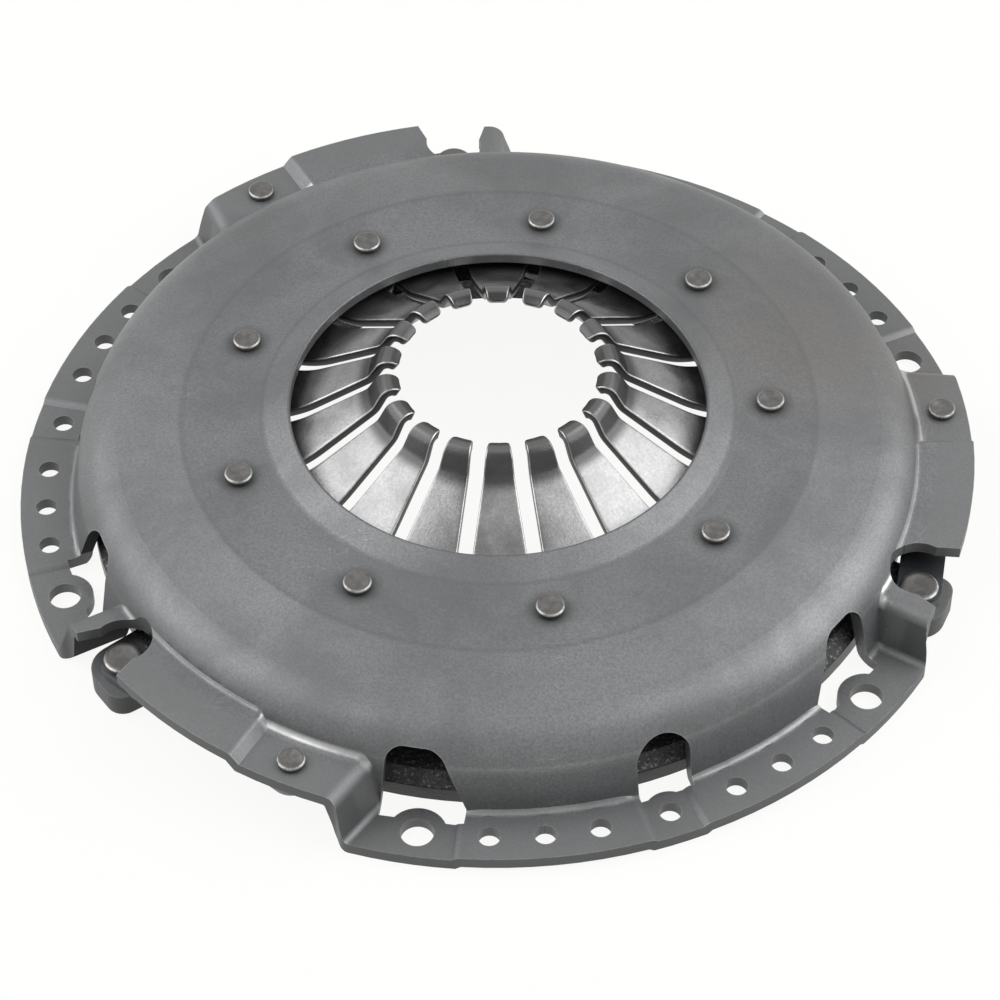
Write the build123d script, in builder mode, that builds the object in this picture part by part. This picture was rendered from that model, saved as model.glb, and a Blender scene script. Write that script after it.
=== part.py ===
from build123d import *
from math import cos, radians, sin, tan
import os

# Diaphragm-spring clutch cover assembly, in millimetres.
# Origin: centre of the cover flange's underside. +Z points away from the flywheel.
# Angles are counted about +Z, and one of the nine spacer rivets stands on +X.

# ---------------------------------------------------------------- cover sheet
SHEET = 3.6                # thickness of the pressed sheet
COVER_R = 138.0            # outer radius of the bolting flange
FLANGE_WIDTH = 15.05       # from the rim to the skirt, at the flange's top face
SKIRT_DRAFT = 10.6         # lean of the skirt from the vertical, degrees
SHOULDER_DEPTH = 4.4       # from the rim corner of the top to the shoulder corner, inwards
FOOT_BEND = 2.0            # hollow bend where the skirt meets the flange
SHOULDER_BEND = 15.0       # round bend between the top and the skirt
CREASE_BEND = 10.0         # soft crease round the flat ring
LIP_BEND = 6.0             # soft crease at the foot of the raised lip
COVER_HEIGHT = 36.0        # flange underside to the top of the lip
LIP_RISE = 3.4             # lip edge above the flat ring
RING_FALL = 0.3            # fall of the ring from its inner to its outer crease
CONE_FALL = 5.3            # fall from the outer crease to the shoulder corner
EDGE_BREAK = 0.6           # rounding of the opening's edge
BEND_SINK = 0.04           # bends start this far under the skirt's skin, so that they cross it

# ------------------------------------------------- ring of rivets and fulcrum
PLATE_GAP = 2.0            # pressure plate's rim to the skirt inside it
SEAT_INSET = 20.29         # plate rim to the middle of the spring seat
LEVER = 20.0               # spring seat to the rivet circle
OPENING_INSET = 18.1       # rivet circle to the edge of the central opening
LIP_INSET = 9.8            # rivet circle to the lip crease
CREASE_OUTSET = 12.9       # rivet circle to the outer crease
RIVET_COUNT = 9
RIVET_HEAD_R = 4.0
RIVET_HEAD_RISE = 1.9
RIVET_SHANK_R = 3.0        # through the cover
SPACER_R = 4.0             # between the cover and the collar
COLLAR_R = 7.5
COLLAR_THICKNESS = 2.4
WIRE_R = 2.0               # section radius of both fulcrum rings
WIRE_GAP_ANGLE = 0.8       # gap between the ends of each rolled ring, degrees
SHANK_GAP = 0.05           # round each rivet shank
SEAT_GAP = 0.05            # between a wire ring and what it bears on

# ----------------------------------------------------------- diaphragm spring
SPRING_THICKNESS = 2.7
SPRING_OVERHANG = 2.0      # spring rim beyond the seat
SPRING_CONE = 11.0         # free cone angle, degrees
FINGER_COUNT = 18
FINGER_SLOPE = 32.3        # rise of the fingers, degrees
FINGER_START_R = 56.9      # where the cone turns up into the fingers
TIP_R = 27.7
CROWN_FOOT_R = 36.8
CROWN_PEAK_R = 32.4
CROWN_SLOPE = 60.0         # rise of the riser in front of the crown, degrees
TIP_SLOPE = 35.0           # fall from the crown to the tip, degrees
FINGER_BEND = 25.0
CROWN_BEND = 4.0
SLOT_WIDTH = 4.2
KEYHOLE_GAP = 0.5          # round a rivet's spacer, in the slot root

# ------------------------------------------------------------- pressure plate
FACE_HEIGHT = 1.0          # friction face above the flange's underside, spring free
LIFT = 5.0                 # travel from the free state to full release
PLATE_INNER_R = 75.5
PLATE_RIM_THICKNESS = 9.0
PLATE_BAND = 5.4           # turned edge of the plate, above its friction face
PLATE_SHOULDER = 3.5       # as-cast slope between the turned edge and the top
POCKET_GAP = 0.6           # plate to the rivet collars at full lift
SEAT_WIDTH = 5.0
SEAT_CLEARANCE = 0.3       # spring seat below the spring
SEAT_FOOT_WIDTH = 9.0
PLATE_CHAMFER = 0.7

# ------------------------------------------------------------- bolting flange
BOLT_INSET = 8.0           # rim to bolt circle
BOLT_HOLE_R = 4.5
BOLT_START = 20.0
BOLT_COUNT = 6
DOWEL_HOLE_R = 3.0
DOWEL_START = 50.0
EAR_COUNT = 3
BALANCE_HOLE_R = 3.0
BALANCE_INSET = 7.5        # rim to the balance holes
BALANCE_FIRST = 8.57       # first balance hole from the dowel, degrees
BALANCE_PITCH = 6.5
BALANCE_PER_SIDE = 3
SPOT_R = 6.8               # flat spot punched round each balance hole
PAD_STEP = 1.0             # flange between the pads stands this much higher
BOLT_PAD_HALF = 4.3        # half angle of a bolt pad, degrees
DOWEL_PAD_HALF = 2.7
PAD_STEP_SLOPE = 35.0      # soft slope between a pad and the flange beside it
PAD_STEP_BEND = 3.0
BOLT_BOSS_R = 8.0
BOLT_WINDOW_DEPTH = 4.0    # from the bolt circle to the window's outer end
BOLT_WINDOW_TOP = 23.4     # wrench window in the skirt, leaning away from the dowel
BOLT_WINDOW_FAR_BASE = 11.8
BOLT_WINDOW_FAR_TOP = 10.0
BOLT_WINDOW_NEAR_TOP = 4.5
BOLT_WINDOW_NEAR_BASE = 11.8
BOLT_WINDOW_KNEE = 5.5     # height at which its leaning side turns upright
BOLT_WINDOW_FAR_BEND = 5.0
BOLT_WINDOW_NEAR_BEND = 6.0
DOWEL_BOSS_R = 6.9
DOWEL_WINDOW_DEPTH = 5.6
DOWEL_WINDOW_TOP = 22.3
DOWEL_WINDOW_LOW = 6.0     # sideways from the dowel towards falling angles
DOWEL_WINDOW_HIGH = 9.2    # and towards rising angles
DOWEL_WINDOW_BEND = 7.5
WINDOW_REACH = 20.0        # inwards, past the inside of the skirt

# ----------------------------------------------------------------- strap ears
EAR_INSET = 2.7            # ear rim inside the flange rim
PAD_TOP = 18.1             # rivet pad
LONG_TOP = 20.9            # long platform over the strap
SHORT_TOP = 18.5           # short platform behind the lug window
PAD_BEND = 3.6
PLATFORM_BEND = 2.2
RIDGE_INNER_BEND = 0.8     # inside radius of the bends at the ear's ends
PAD_END = 13.5             # foot of the ramp behind the rivet pad, degrees
PAD_END_SLANT = -20.0
STEP_ANGLE = -0.8          # foot of the step from the long platform to the pad
SHORT_END = -32.2          # foot of the ramp behind the short platform
SHORT_END_SLANT = 0.0
RAMP_SLOPE = 76.0
STEP_SLOPE = 45.0
STEP_BEND = 2.2
LUG_WINDOW_R = 8.4
LUG_WINDOW_INSET = 0.4     # lug rivet circle to the window's centre
LUG_EDGE_INNER = -21.5     # straight edge of the long platform at the skirt, degrees
LUG_EDGE_OUTER = -19.0     # and beyond the rim
SHORT_EDGE_INNER = -27.4   # edge of the short platform beside the rivet
SHORT_EDGE_OUTER = -29.3   # and beyond the rim
RELIEF_START = -31.0       # where the ear's rim steps in from the flange's rim
RELIEF_END = 11.0
RELIEF_SPLAY = 2.5
RELIEF_BEND = 3.5

# --------------------------------------------------------------- drive straps
STRAP_PAD_ANGLE = 4.37
STRAP_PAD_INSET = 9.9      # flange rim to the cover-side strap rivet
STRAP_LUG_ANGLE = -24.04
STRAP_LUG_INSET = 10.8     # flange rim to the lug rivet
STRAP_WIDTH = 12.4
LEAF_THICKNESS = 0.9
LEAF_GAP = 0.04
LEAF_COUNT = 3
STRAP_FLAT = 8.0           # flat end beyond each rivet's centre
STRAP_BEND = 12.0
PAD_RIVET_HEAD_R = 3.95
PAD_RIVET_RISE = 1.85
PAD_RIVET_SHANK_R = 2.8
PAD_RIVET_TAIL_R = 4.6
PAD_RIVET_TAIL = 1.8
LUG_TOP = 8.1
LUG_LIFT = 0.2             # lug's underside above the friction face
LUG_ROOT_WIDTH = 20.0
LUG_WIDTH = 18.0
LUG_TIP = 8.5              # from its rivet to the lug's end
LUG_CORNER = 5.0           # towards the strap
LUG_FAR_CORNER = 8.0
LUG_ROOT_BEND = 3.0
LUG_RIVET_HEAD_R = 5.4
LUG_RIVET_RISE = 2.1
LUG_RIVET_SHANK_R = 3.4
LUG_RIVET_TAIL_R = 5.2
LUG_RIVET_TAIL = 1.6
HEAD_EDGE = 0.5            # rounding of every rivet head

# ------------------------------------------------------------- worked out once
SKIRT_R = COVER_R - FLANGE_WIDTH
BOLT_CIRCLE_R = COVER_R - BOLT_INSET
BALANCE_CIRCLE_R = COVER_R - BALANCE_INSET
EAR_R = COVER_R - EAR_INSET
BEYOND_RIM = COVER_R + 4.0
BELOW_FLANGE = -3.0 * SHEET
ABOVE_COVER = COVER_HEIGHT + 5.0
SHOULDER_R = SKIRT_R - SHOULDER_DEPTH
PLATE_R = SKIRT_R - SHEET / cos(radians(SKIRT_DRAFT)) - PLATE_GAP
SEAT_R = PLATE_R - SEAT_INSET
RIVET_CIRCLE_R = SEAT_R - LEVER
OPENING_R = RIVET_CIRCLE_R - OPENING_INSET
LIP_R = RIVET_CIRCLE_R - LIP_INSET
CREASE_R = RIVET_CIRCLE_R + CREASE_OUTSET
SPRING_R = SEAT_R + SPRING_OVERHANG
RING_TOP = COVER_HEIGHT - LIP_RISE
CREASE_TOP = RING_TOP - RING_FALL
SHOULDER_TOP = CREASE_TOP - CONE_FALL
LIP_SLOPE = LIP_RISE / (LIP_R - OPENING_R)
BLANK_INNER_R = OPENING_R - 3.0 * SHEET
RIDGE_BEND = RIDGE_INNER_BEND + SHEET
STRAP_PAD_R = COVER_R - STRAP_PAD_INSET
STRAP_LUG_R = COVER_R - STRAP_LUG_INSET
PACK_THICKNESS = LEAF_COUNT * LEAF_THICKNESS + (LEAF_COUNT - 1) * LEAF_GAP
EAR_PITCH = 360.0 / EAR_COUNT


def radial_plane(angle):
    """Upright plane through the axis: local x is the radius, local y is the height."""
    x_dir = Vector(1, 0, 0).rotate(Axis.Z, angle)
    return Plane(origin=(0, 0, 0), x_dir=x_dir, z_dir=Vector(0, -1, 0).rotate(Axis.Z, angle))


def polar(radius, angle, height=0.0):
    """Point at a radius and an angle about the axis."""
    return Vector(radius * cos(radians(angle)), radius * sin(radians(angle)), height)


def skirt_radius(height):
    """Outside of the skirt's straight wall at a height."""
    return SKIRT_R - (height - SHEET) * tan(radians(SKIRT_DRAFT))


def ring_underside(radius):
    """Underside of the cover's flat ring at a radius."""
    share = (radius - LIP_R) / (CREASE_R - LIP_R)
    return RING_TOP - RING_FALL * share - SHEET


def cover_level(plane, floor, bend, inset, foot_only):
    """Region under the cover's skin where the skirt stands on a floor at one height.

    With inset it is the space inside the sheet. With foot_only it keeps the floor and
    its bend alone, up to where the bend runs out on the skirt.
    """
    sink = BEND_SINK if foot_only else 0
    skirt_end = (skirt_radius(BELOW_FLANGE) - sink, BELOW_FLANGE)
    with BuildSketch(plane) as region:
        with BuildLine():
            FilletPolyline(
                (BLANK_INNER_R, RING_TOP + (LIP_R - BLANK_INNER_R) * LIP_SLOPE),
                (LIP_R, RING_TOP),
                (CREASE_R, CREASE_TOP),
                (SHOULDER_R - sink, SHOULDER_TOP),
                skirt_end,
                radius=(LIP_BEND, CREASE_BEND, SHOULDER_BEND),
            )
            Polyline(
                skirt_end,
                (BLANK_INNER_R, BELOW_FLANGE),
                (BLANK_INNER_R, RING_TOP + (LIP_R - BLANK_INNER_R) * LIP_SLOPE),
            )
        make_face()
        with Locations((BLANK_INNER_R, BELOW_FLANGE)):
            Rectangle(
                BEYOND_RIM - BLANK_INNER_R,
                floor - BELOW_FLANGE,
                align=(Align.MIN, Align.MIN),
            )
        on_floor = region.vertices().filter_by(lambda v: abs(v.Y - floor) < 0.001)
        corner = on_floor.sort_by(Axis.X)[0]
        fillet(corner, bend)
        if inset:
            offset(amount=-inset)
        if foot_only:
            wall = region.vertices().filter_by(lambda v: v.X > CREASE_R)
            above = wall.filter_by(lambda v: v.Y > floor - inset + 0.001)
            top = above.sort_by(Axis.Y)[0].Y
            with Locations((CREASE_R, BELOW_FLANGE)):
                Rectangle(
                    2 * BEYOND_RIM,
                    top - BELOW_FLANGE,
                    align=(Align.MIN, Align.MIN),
                    mode=Mode.INTERSECT,
                )
    return region.sketch


def end_plane(angle, slant, slope, foot, facing, inset):
    """Plane of a slope that ends a level; its normal points out of the level.

    facing is 1 where the slope looks towards rising angles and -1 the other way.
    """
    radial = polar(1, angle)
    along = radial.rotate(Axis.Z, slant)
    outward = along.rotate(Axis.Z, 90 * facing)
    normal = outward * sin(radians(slope)) + Vector(0, 0, cos(radians(slope)))
    origin = polar(BOLT_CIRCLE_R, angle, foot) - normal * inset
    return Plane(origin=origin, x_dir=along, z_dir=normal)


def level_between(floor, bend, first, last, inset):
    """One level of an ear or of the flange between its two end slopes.

    first and last each give the end's angle, slant, slope, foot height and ridge bend.
    An end with no ridge bend is a plain cut inside the ear.
    """
    margin = 6.0
    planes = [
        end_plane(*end[:4], facing, inset if end[4] else 0)
        for end, facing in ((first, -1), (last, 1))
    ]
    with BuildPart() as level:
        section = cover_level(radial_plane(first[0] - margin), floor, bend, inset, True)
        revolve(section, axis=Axis.Z, revolution_arc=last[0] - first[0] + 2 * margin)
        for plane, ridge_bend in zip(planes, (first[4], last[4])):
            split(bisect_by=plane, keep=Keep.BOTTOM)
            if ridge_bend - inset > 0:
                top_face = level.faces().sort_by(Axis.Z)[-1].center().Z
                slope_face = level.faces().sort_by(lambda f: abs(plane.to_local_coords(f.center()).Z))[0]
                ridge = slope_face.edges().filter_by(
                    lambda e: floor - inset - 0.001 < e.center().Z < top_face - 0.001
                )
                fillet(ridge, ridge_bend - inset)
    return level.part


def foot_web(angle, slant, floor, facing, inset):
    """Hollow bend at the foot of an ear's ramp, run out along the ramp."""
    radial = polar(1, angle)
    outward = radial.rotate(Axis.Z, slant + 90 * facing)
    plane = Plane(
        origin=polar(BOLT_CIRCLE_R, angle),
        x_dir=outward,
        z_dir=outward.cross(Vector(0, 0, 1)),
    )
    half_way = (floor + SHEET) / 2
    reach = 4.0 * SHEET
    with BuildPart() as web:
        with BuildSketch(plane):
            with BuildLine():
                FilletPolyline(
                    (-(half_way - SHEET) / tan(radians(RAMP_SLOPE)), half_way),
                    (0, SHEET),
                    (reach, SHEET),
                    radius=FOOT_BEND,
                )
                Polyline(
                    (reach, SHEET),
                    (reach, BELOW_FLANGE),
                    (-reach, BELOW_FLANGE),
                    (-reach, half_way),
                    (-(half_way - SHEET) / tan(radians(RAMP_SLOPE)), half_way),
                )
            make_face()
            if inset:
                offset(amount=-inset)
        extrude(amount=BOLT_CIRCLE_R - CREASE_R, both=True)
    return web.part


def ear_form(inset):
    """Whole strap ear: rivet pad, long platform, short platform and two ramps."""
    pad_ramp = (PAD_END, PAD_END_SLANT, RAMP_SLOPE, SHEET, RIDGE_BEND)
    short_ramp = (SHORT_END, SHORT_END_SLANT, RAMP_SLOPE, SHEET, RIDGE_BEND)
    step = (STEP_ANGLE, 0, STEP_SLOPE, PAD_TOP, STEP_BEND)
    behind_step = (STEP_ANGLE - DOWEL_PAD_HALF, 0, 90, 0, 0)
    in_window = (STRAP_LUG_ANGLE, 0, 90, 0, 0)
    with BuildPart() as form:
        add(level_between(PAD_TOP, PAD_BEND, behind_step, pad_ramp, inset))
        add(level_between(LONG_TOP, PLATFORM_BEND, in_window, step, inset))
        add(level_between(SHORT_TOP, PLATFORM_BEND, short_ramp, in_window, inset))
        add(foot_web(PAD_END, PAD_END_SLANT, PAD_TOP, 1, inset))
        add(foot_web(SHORT_END, SHORT_END_SLANT, SHORT_TOP, -1, inset))
    return form.part


def raised_zone(start, end, inset):
    """Stretch of flange between two pads, which stands one step higher."""
    slope = (0, PAD_STEP_SLOPE, SHEET, PAD_STEP_BEND)
    return level_between(SHEET + PAD_STEP, FOOT_BEND, (start, *slope), (end, *slope), inset)


def skirt_window(angle, corners, bends, depth, boss_radius):
    """Window pierced square through the skirt, less the boss round a bolt or dowel.

    corners are drawn looking outwards: sideways from the bolt or dowel, and height. The
    first and last stand on the floor, and bends are the fillets of the second and third.
    """
    radial = polar(1, angle)
    wall = Plane(
        origin=polar(BOLT_CIRCLE_R - depth, angle), x_dir=radial.rotate(Axis.Z, 90), z_dir=radial
    )
    with BuildPart() as window:
        with BuildSketch(wall):
            with BuildLine():
                FilletPolyline(*corners[:4], radius=bends)
                Polyline(*corners[3:], corners[0])
            make_face()
        extrude(amount=-WINDOW_REACH)
        with Locations(polar(BOLT_CIRCLE_R, angle, SHEET)):
            Cylinder(
                boss_radius,
                2 * SHEET,
                align=(Align.CENTER, Align.CENTER, Align.MAX),
                mode=Mode.SUBTRACT,
            )
    return window.part


def bolt_window(angle, side):
    """Wrench window; side is 1 where the dowel stands towards rising angles, or -1."""
    corners = (
        (-side * BOLT_WINDOW_FAR_BASE, -SHEET),
        (-side * BOLT_WINDOW_FAR_TOP, BOLT_WINDOW_TOP),
        (side * BOLT_WINDOW_NEAR_TOP, BOLT_WINDOW_TOP),
        (side * BOLT_WINDOW_NEAR_BASE, BOLT_WINDOW_KNEE),
        (side * BOLT_WINDOW_NEAR_BASE, -SHEET),
    )
    bends = (BOLT_WINDOW_FAR_BEND, BOLT_WINDOW_NEAR_BEND)
    return skirt_window(angle, corners, bends, BOLT_WINDOW_DEPTH, BOLT_BOSS_R)


def dowel_window():
    """Round-topped window over the first dowel."""
    corners = (
        (-DOWEL_WINDOW_LOW, -SHEET),
        (-DOWEL_WINDOW_LOW, DOWEL_WINDOW_TOP),
        (DOWEL_WINDOW_HIGH, DOWEL_WINDOW_TOP),
        (DOWEL_WINDOW_HIGH, -SHEET),
    )
    bends = (DOWEL_WINDOW_BEND, DOWEL_WINDOW_BEND)
    return skirt_window(DOWEL_START, corners, bends, DOWEL_WINDOW_DEPTH, DOWEL_BOSS_R)


def lug_window_shape():
    """Notch over the lug rivet: round about the rivet and open at the rim."""
    with BuildSketch() as shape:
        with Locations(polar(STRAP_LUG_R - LUG_WINDOW_INSET, STRAP_LUG_ANGLE)):
            Circle(LUG_WINDOW_R)
        with BuildLine():
            Polyline(
                polar(skirt_radius(SHORT_TOP), LUG_EDGE_INNER),
                polar(BEYOND_RIM, LUG_EDGE_OUTER),
                polar(BEYOND_RIM, SHORT_EDGE_OUTER),
                polar(STRAP_LUG_R, SHORT_EDGE_INNER),
                close=True,
            )
        make_face()
    return shape.sketch


def balance_locations():
    """Places of the balance holes, three each side of every dowel."""
    places = []
    for side in (-1, 1):
        for index in range(BALANCE_PER_SIDE):
            angle = DOWEL_START + side * (BALANCE_FIRST + index * BALANCE_PITCH)
            places += [polar(BALANCE_CIRCLE_R, angle + EAR_PITCH * ear) for ear in range(EAR_COUNT)]
    return places


# --------------------------------------------------------------- clutch cover
third_start = DOWEL_START - EAR_PITCH
zone_ends = (
    (BOLT_START + BOLT_PAD_HALF, DOWEL_START - DOWEL_PAD_HALF),
    (third_start + DOWEL_PAD_HALF, DOWEL_START - BOLT_START + third_start - BOLT_PAD_HALF),
)
windows = [
    bolt_window(BOLT_START, 1),
    bolt_window(2 * DOWEL_START - BOLT_START, -1),
    dowel_window(),
]


def third_form(inset):
    """Solid under a third of the cover's skin, from one dowel to the next."""
    with BuildPart() as form:
        section = cover_level(radial_plane(third_start), SHEET, FOOT_BEND, inset, False)
        revolve(section, axis=Axis.Z, revolution_arc=EAR_PITCH)
        add(ear_form(inset))
        for start, end in zone_ends:
            add(raised_zone(start, end, inset))
    return form.part


with BuildPart() as cover_third:
    # the pressed sheet: everything under its outer skin, less everything inside it
    add(third_form(0))
    add(third_form(SHEET), mode=Mode.SUBTRACT)
    # the slopes beside the dowel pads run out past its ends, under the sheet
    split(bisect_by=radial_plane(third_start), keep=Keep.BOTTOM)
    split(bisect_by=radial_plane(third_start + EAR_PITCH), keep=Keep.TOP)

with BuildPart() as cover:
    with PolarLocations(0, EAR_COUNT):
        add(cover_third)
    # the trimmed rim, set in along each ear
    with BuildSketch() as rim:
        Circle(COVER_R)
        for ear in range(EAR_COUNT):
            start = RELIEF_START + ear * EAR_PITCH
            end = RELIEF_END + ear * EAR_PITCH
            with BuildLine():
                CenterArc((0, 0), EAR_R, start, end - start)
                Line(polar(EAR_R, end), polar(BEYOND_RIM, end + RELIEF_SPLAY))
                CenterArc((0, 0), BEYOND_RIM, start - RELIEF_SPLAY, end - start + 2 * RELIEF_SPLAY)
                Line(polar(BEYOND_RIM, start - RELIEF_SPLAY), polar(EAR_R, start))
            make_face(mode=Mode.SUBTRACT)
        fillet(rim.vertices(), RELIEF_BEND)
    extrude(amount=ABOVE_COVER, mode=Mode.INTERSECT)
    # everything punched straight down through the sheet
    with BuildSketch():
        Circle(OPENING_R)
        with PolarLocations(RIVET_CIRCLE_R, RIVET_COUNT):
            Circle(RIVET_SHANK_R + SHANK_GAP)
        with PolarLocations(BOLT_CIRCLE_R, BOLT_COUNT, start_angle=BOLT_START):
            Circle(BOLT_HOLE_R)
        with PolarLocations(BOLT_CIRCLE_R, EAR_COUNT, start_angle=DOWEL_START):
            Circle(DOWEL_HOLE_R)
        with PolarLocations(STRAP_PAD_R, EAR_COUNT, start_angle=STRAP_PAD_ANGLE):
            Circle(PAD_RIVET_SHANK_R + SHANK_GAP)
        with PolarLocations(0, EAR_COUNT):
            add(lug_window_shape())
        with Locations(*balance_locations()):
            Circle(BALANCE_HOLE_R)
    extrude(amount=ABOVE_COVER, mode=Mode.SUBTRACT)
    # windows pierced through the skirt from the side
    with PolarLocations(0, EAR_COUNT):
        add(windows, mode=Mode.SUBTRACT)
    # flat spots round the balance holes bite into the bend at the skirt's foot
    with BuildSketch(Plane.XY.offset(SHEET + PAD_STEP)):
        with Locations(*balance_locations()):
            Circle(SPOT_R)
    extrude(amount=FOOT_BEND + PAD_STEP, mode=Mode.SUBTRACT)
    opening = cover.edges().filter_by(GeomType.CIRCLE).filter_by(lambda e: abs(e.radius - OPENING_R) < 0.001)
    fillet(opening, EDGE_BREAK)
cover.part.label = "cover"

# ------------------------------------------------- fulcrum rings and the spring
cone = radians(SPRING_CONE)
ring_r = RIVET_CIRCLE_R + SPACER_R + WIRE_R + SEAT_GAP
upper_ring_z = ring_underside(ring_r + WIRE_R) - WIRE_R - SEAT_GAP
spring_top_z = upper_ring_z - (WIRE_R + SEAT_GAP) / cos(cone)
lower_ring_z = spring_top_z - (SPRING_THICKNESS + WIRE_R + SEAT_GAP) / cos(cone)
collar_top_z = lower_ring_z - WIRE_R - SEAT_GAP
collar_bottom_z = collar_top_z - COLLAR_THICKNESS


def cone_top(radius):
    """Top of the spring's conical part at a radius."""
    return spring_top_z - (radius - ring_r) * tan(cone)


def wire_ring(height, gap_angle):
    """Rolled wire ring, with a small gap between its ends."""
    with BuildPart() as ring:
        with BuildSketch(radial_plane(gap_angle)):
            with Locations((ring_r, height)):
                Circle(WIRE_R)
        revolve(axis=Axis.Z, revolution_arc=360 - WIRE_GAP_ANGLE)
    return ring.part


with BuildPart() as diaphragm_spring:
    finger_start = (FINGER_START_R, cone_top(FINGER_START_R))
    finger_rise = (FINGER_START_R - CROWN_FOOT_R) * tan(radians(FINGER_SLOPE))
    crown_foot = (CROWN_FOOT_R, finger_start[1] + finger_rise)
    crown_rise = (CROWN_FOOT_R - CROWN_PEAK_R) * tan(radians(CROWN_SLOPE))
    crown_peak = (CROWN_PEAK_R, crown_foot[1] + crown_rise)
    tip = (TIP_R, crown_peak[1] - (CROWN_PEAK_R - TIP_R) * tan(radians(TIP_SLOPE)))
    with BuildSketch(Plane.XZ):
        with BuildLine():
            FilletPolyline(
                (SPRING_R, cone_top(SPRING_R)),
                finger_start,
                crown_foot,
                crown_peak,
                tip,
                radius=(FINGER_BEND, CROWN_BEND, CROWN_BEND),
            )
            offset(amount=SPRING_THICKNESS, side=Side.LEFT)
        make_face()
    revolve(axis=Axis.Z)
    # slots between the fingers, each ending in a round keyhole
    with BuildSketch():
        with PolarLocations(0, FINGER_COUNT):
            with Locations((RIVET_CIRCLE_R, 0)):
                Rectangle(
                    RIVET_CIRCLE_R - TIP_R + SPRING_THICKNESS,
                    SLOT_WIDTH,
                    align=(Align.MAX, Align.CENTER),
                )
        with PolarLocations(RIVET_CIRCLE_R, FINGER_COUNT):
            Circle(SPACER_R + KEYHOLE_GAP)
    extrude(amount=2 * COVER_HEIGHT, mode=Mode.SUBTRACT)
diaphragm_spring.part.label = "diaphragm_spring"


# --------------------------------------------------------------------- rivets
def turned_piece(centre, *corners):
    """Solid of revolution about the upright line through centre, with a rounded head."""
    with BuildPart() as piece:
        with BuildSketch(Plane(origin=centre, x_dir=(1, 0, 0), z_dir=(0, -1, 0))) as half:
            with BuildLine():
                Polyline((0, corners[0][1]), *corners, (0, corners[-1][1]), close=True)
            make_face()
            fillet(half.vertices().group_by(Axis.Y)[-1].sort_by(Axis.X)[-1], HEAD_EDGE)
        revolve(axis=Axis(centre, (0, 0, 1)))
    return piece.part


head_seat_z = ring_underside(RIVET_CIRCLE_R - RIVET_HEAD_R) + SHEET
spacer_top_z = ring_underside(RIVET_CIRCLE_R + SPACER_R)
spacer_rivet = turned_piece(
    (RIVET_CIRCLE_R, 0, 0),
    (RIVET_HEAD_R, head_seat_z + RIVET_HEAD_RISE),
    (RIVET_HEAD_R, head_seat_z),
    (RIVET_SHANK_R, head_seat_z),
    (RIVET_SHANK_R, spacer_top_z),
    (SPACER_R, spacer_top_z),
    (SPACER_R, collar_top_z),
    (COLLAR_R, collar_top_z),
    (COLLAR_R, collar_bottom_z),
)

pad_underside_z = PAD_TOP - SHEET
pad_rivet = turned_piece(
    polar(STRAP_PAD_R, STRAP_PAD_ANGLE),
    (PAD_RIVET_HEAD_R, PAD_TOP + PAD_RIVET_RISE),
    (PAD_RIVET_HEAD_R, PAD_TOP),
    (PAD_RIVET_SHANK_R, PAD_TOP),
    (PAD_RIVET_SHANK_R, pad_underside_z - PACK_THICKNESS - LEAF_GAP),
    (PAD_RIVET_TAIL_R, pad_underside_z - PACK_THICKNESS - LEAF_GAP),
    (PAD_RIVET_TAIL_R, pad_underside_z - PACK_THICKNESS - LEAF_GAP - PAD_RIVET_TAIL),
)

lug_underside_z = FACE_HEIGHT + LUG_LIFT
pack_top_on_lug_z = LUG_TOP + LEAF_GAP + PACK_THICKNESS
lug_rivet = turned_piece(
    polar(STRAP_LUG_R, STRAP_LUG_ANGLE),
    (LUG_RIVET_HEAD_R, pack_top_on_lug_z + LUG_RIVET_RISE),
    (LUG_RIVET_HEAD_R, pack_top_on_lug_z),
    (LUG_RIVET_SHANK_R, pack_top_on_lug_z),
    (LUG_RIVET_SHANK_R, lug_underside_z + LUG_RIVET_TAIL),
    (LUG_RIVET_TAIL_R, lug_underside_z + LUG_RIVET_TAIL),
    (LUG_RIVET_TAIL_R, lug_underside_z),
)

# --------------------------------------------------------------- drive straps
lug_point = polar(STRAP_LUG_R, STRAP_LUG_ANGLE)
pad_point = polar(STRAP_PAD_R, STRAP_PAD_ANGLE)
strap_length = (pad_point - lug_point).length
strap_dir = (pad_point - lug_point).normalized()


def strap_leaf(number):
    """One leaf of the pack over the first lug; number 0 lies against the cover's pad."""
    drop = number * (LEAF_THICKNESS + LEAF_GAP)
    on_lug = pack_top_on_lug_z - drop
    on_pad = pad_underside_z - LEAF_GAP - drop
    side_plane = Plane(origin=lug_point, x_dir=strap_dir, z_dir=strap_dir.cross(Vector(0, 0, 1)))
    with BuildPart() as leaf:
        with BuildSketch(side_plane):
            with BuildLine():
                for depth in (0, LEAF_THICKNESS):
                    FilletPolyline(
                        (-STRAP_WIDTH, on_lug - depth),
                        (STRAP_FLAT, on_lug - depth),
                        (strap_length - STRAP_FLAT, on_pad - depth),
                        (strap_length + STRAP_WIDTH, on_pad - depth),
                        radius=STRAP_BEND,
                    )
                Line((-STRAP_WIDTH, on_lug), (-STRAP_WIDTH, on_lug - LEAF_THICKNESS))
                far_end = strap_length + STRAP_WIDTH
                Line((far_end, on_pad), (far_end, on_pad - LEAF_THICKNESS))
            make_face()
        extrude(amount=STRAP_WIDTH, both=True)
        with BuildSketch(Plane(origin=lug_point, x_dir=strap_dir, z_dir=(0, 0, 1))):
            with Locations((strap_length / 2, 0)):
                SlotCenterToCenter(strap_length, STRAP_WIDTH)
            Circle(LUG_RIVET_SHANK_R + SHANK_GAP, mode=Mode.SUBTRACT)
            with Locations((strap_length, 0)):
                Circle(PAD_RIVET_SHANK_R + SHANK_GAP, mode=Mode.SUBTRACT)
        extrude(amount=ABOVE_COVER, mode=Mode.INTERSECT)
    return leaf.part


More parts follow.
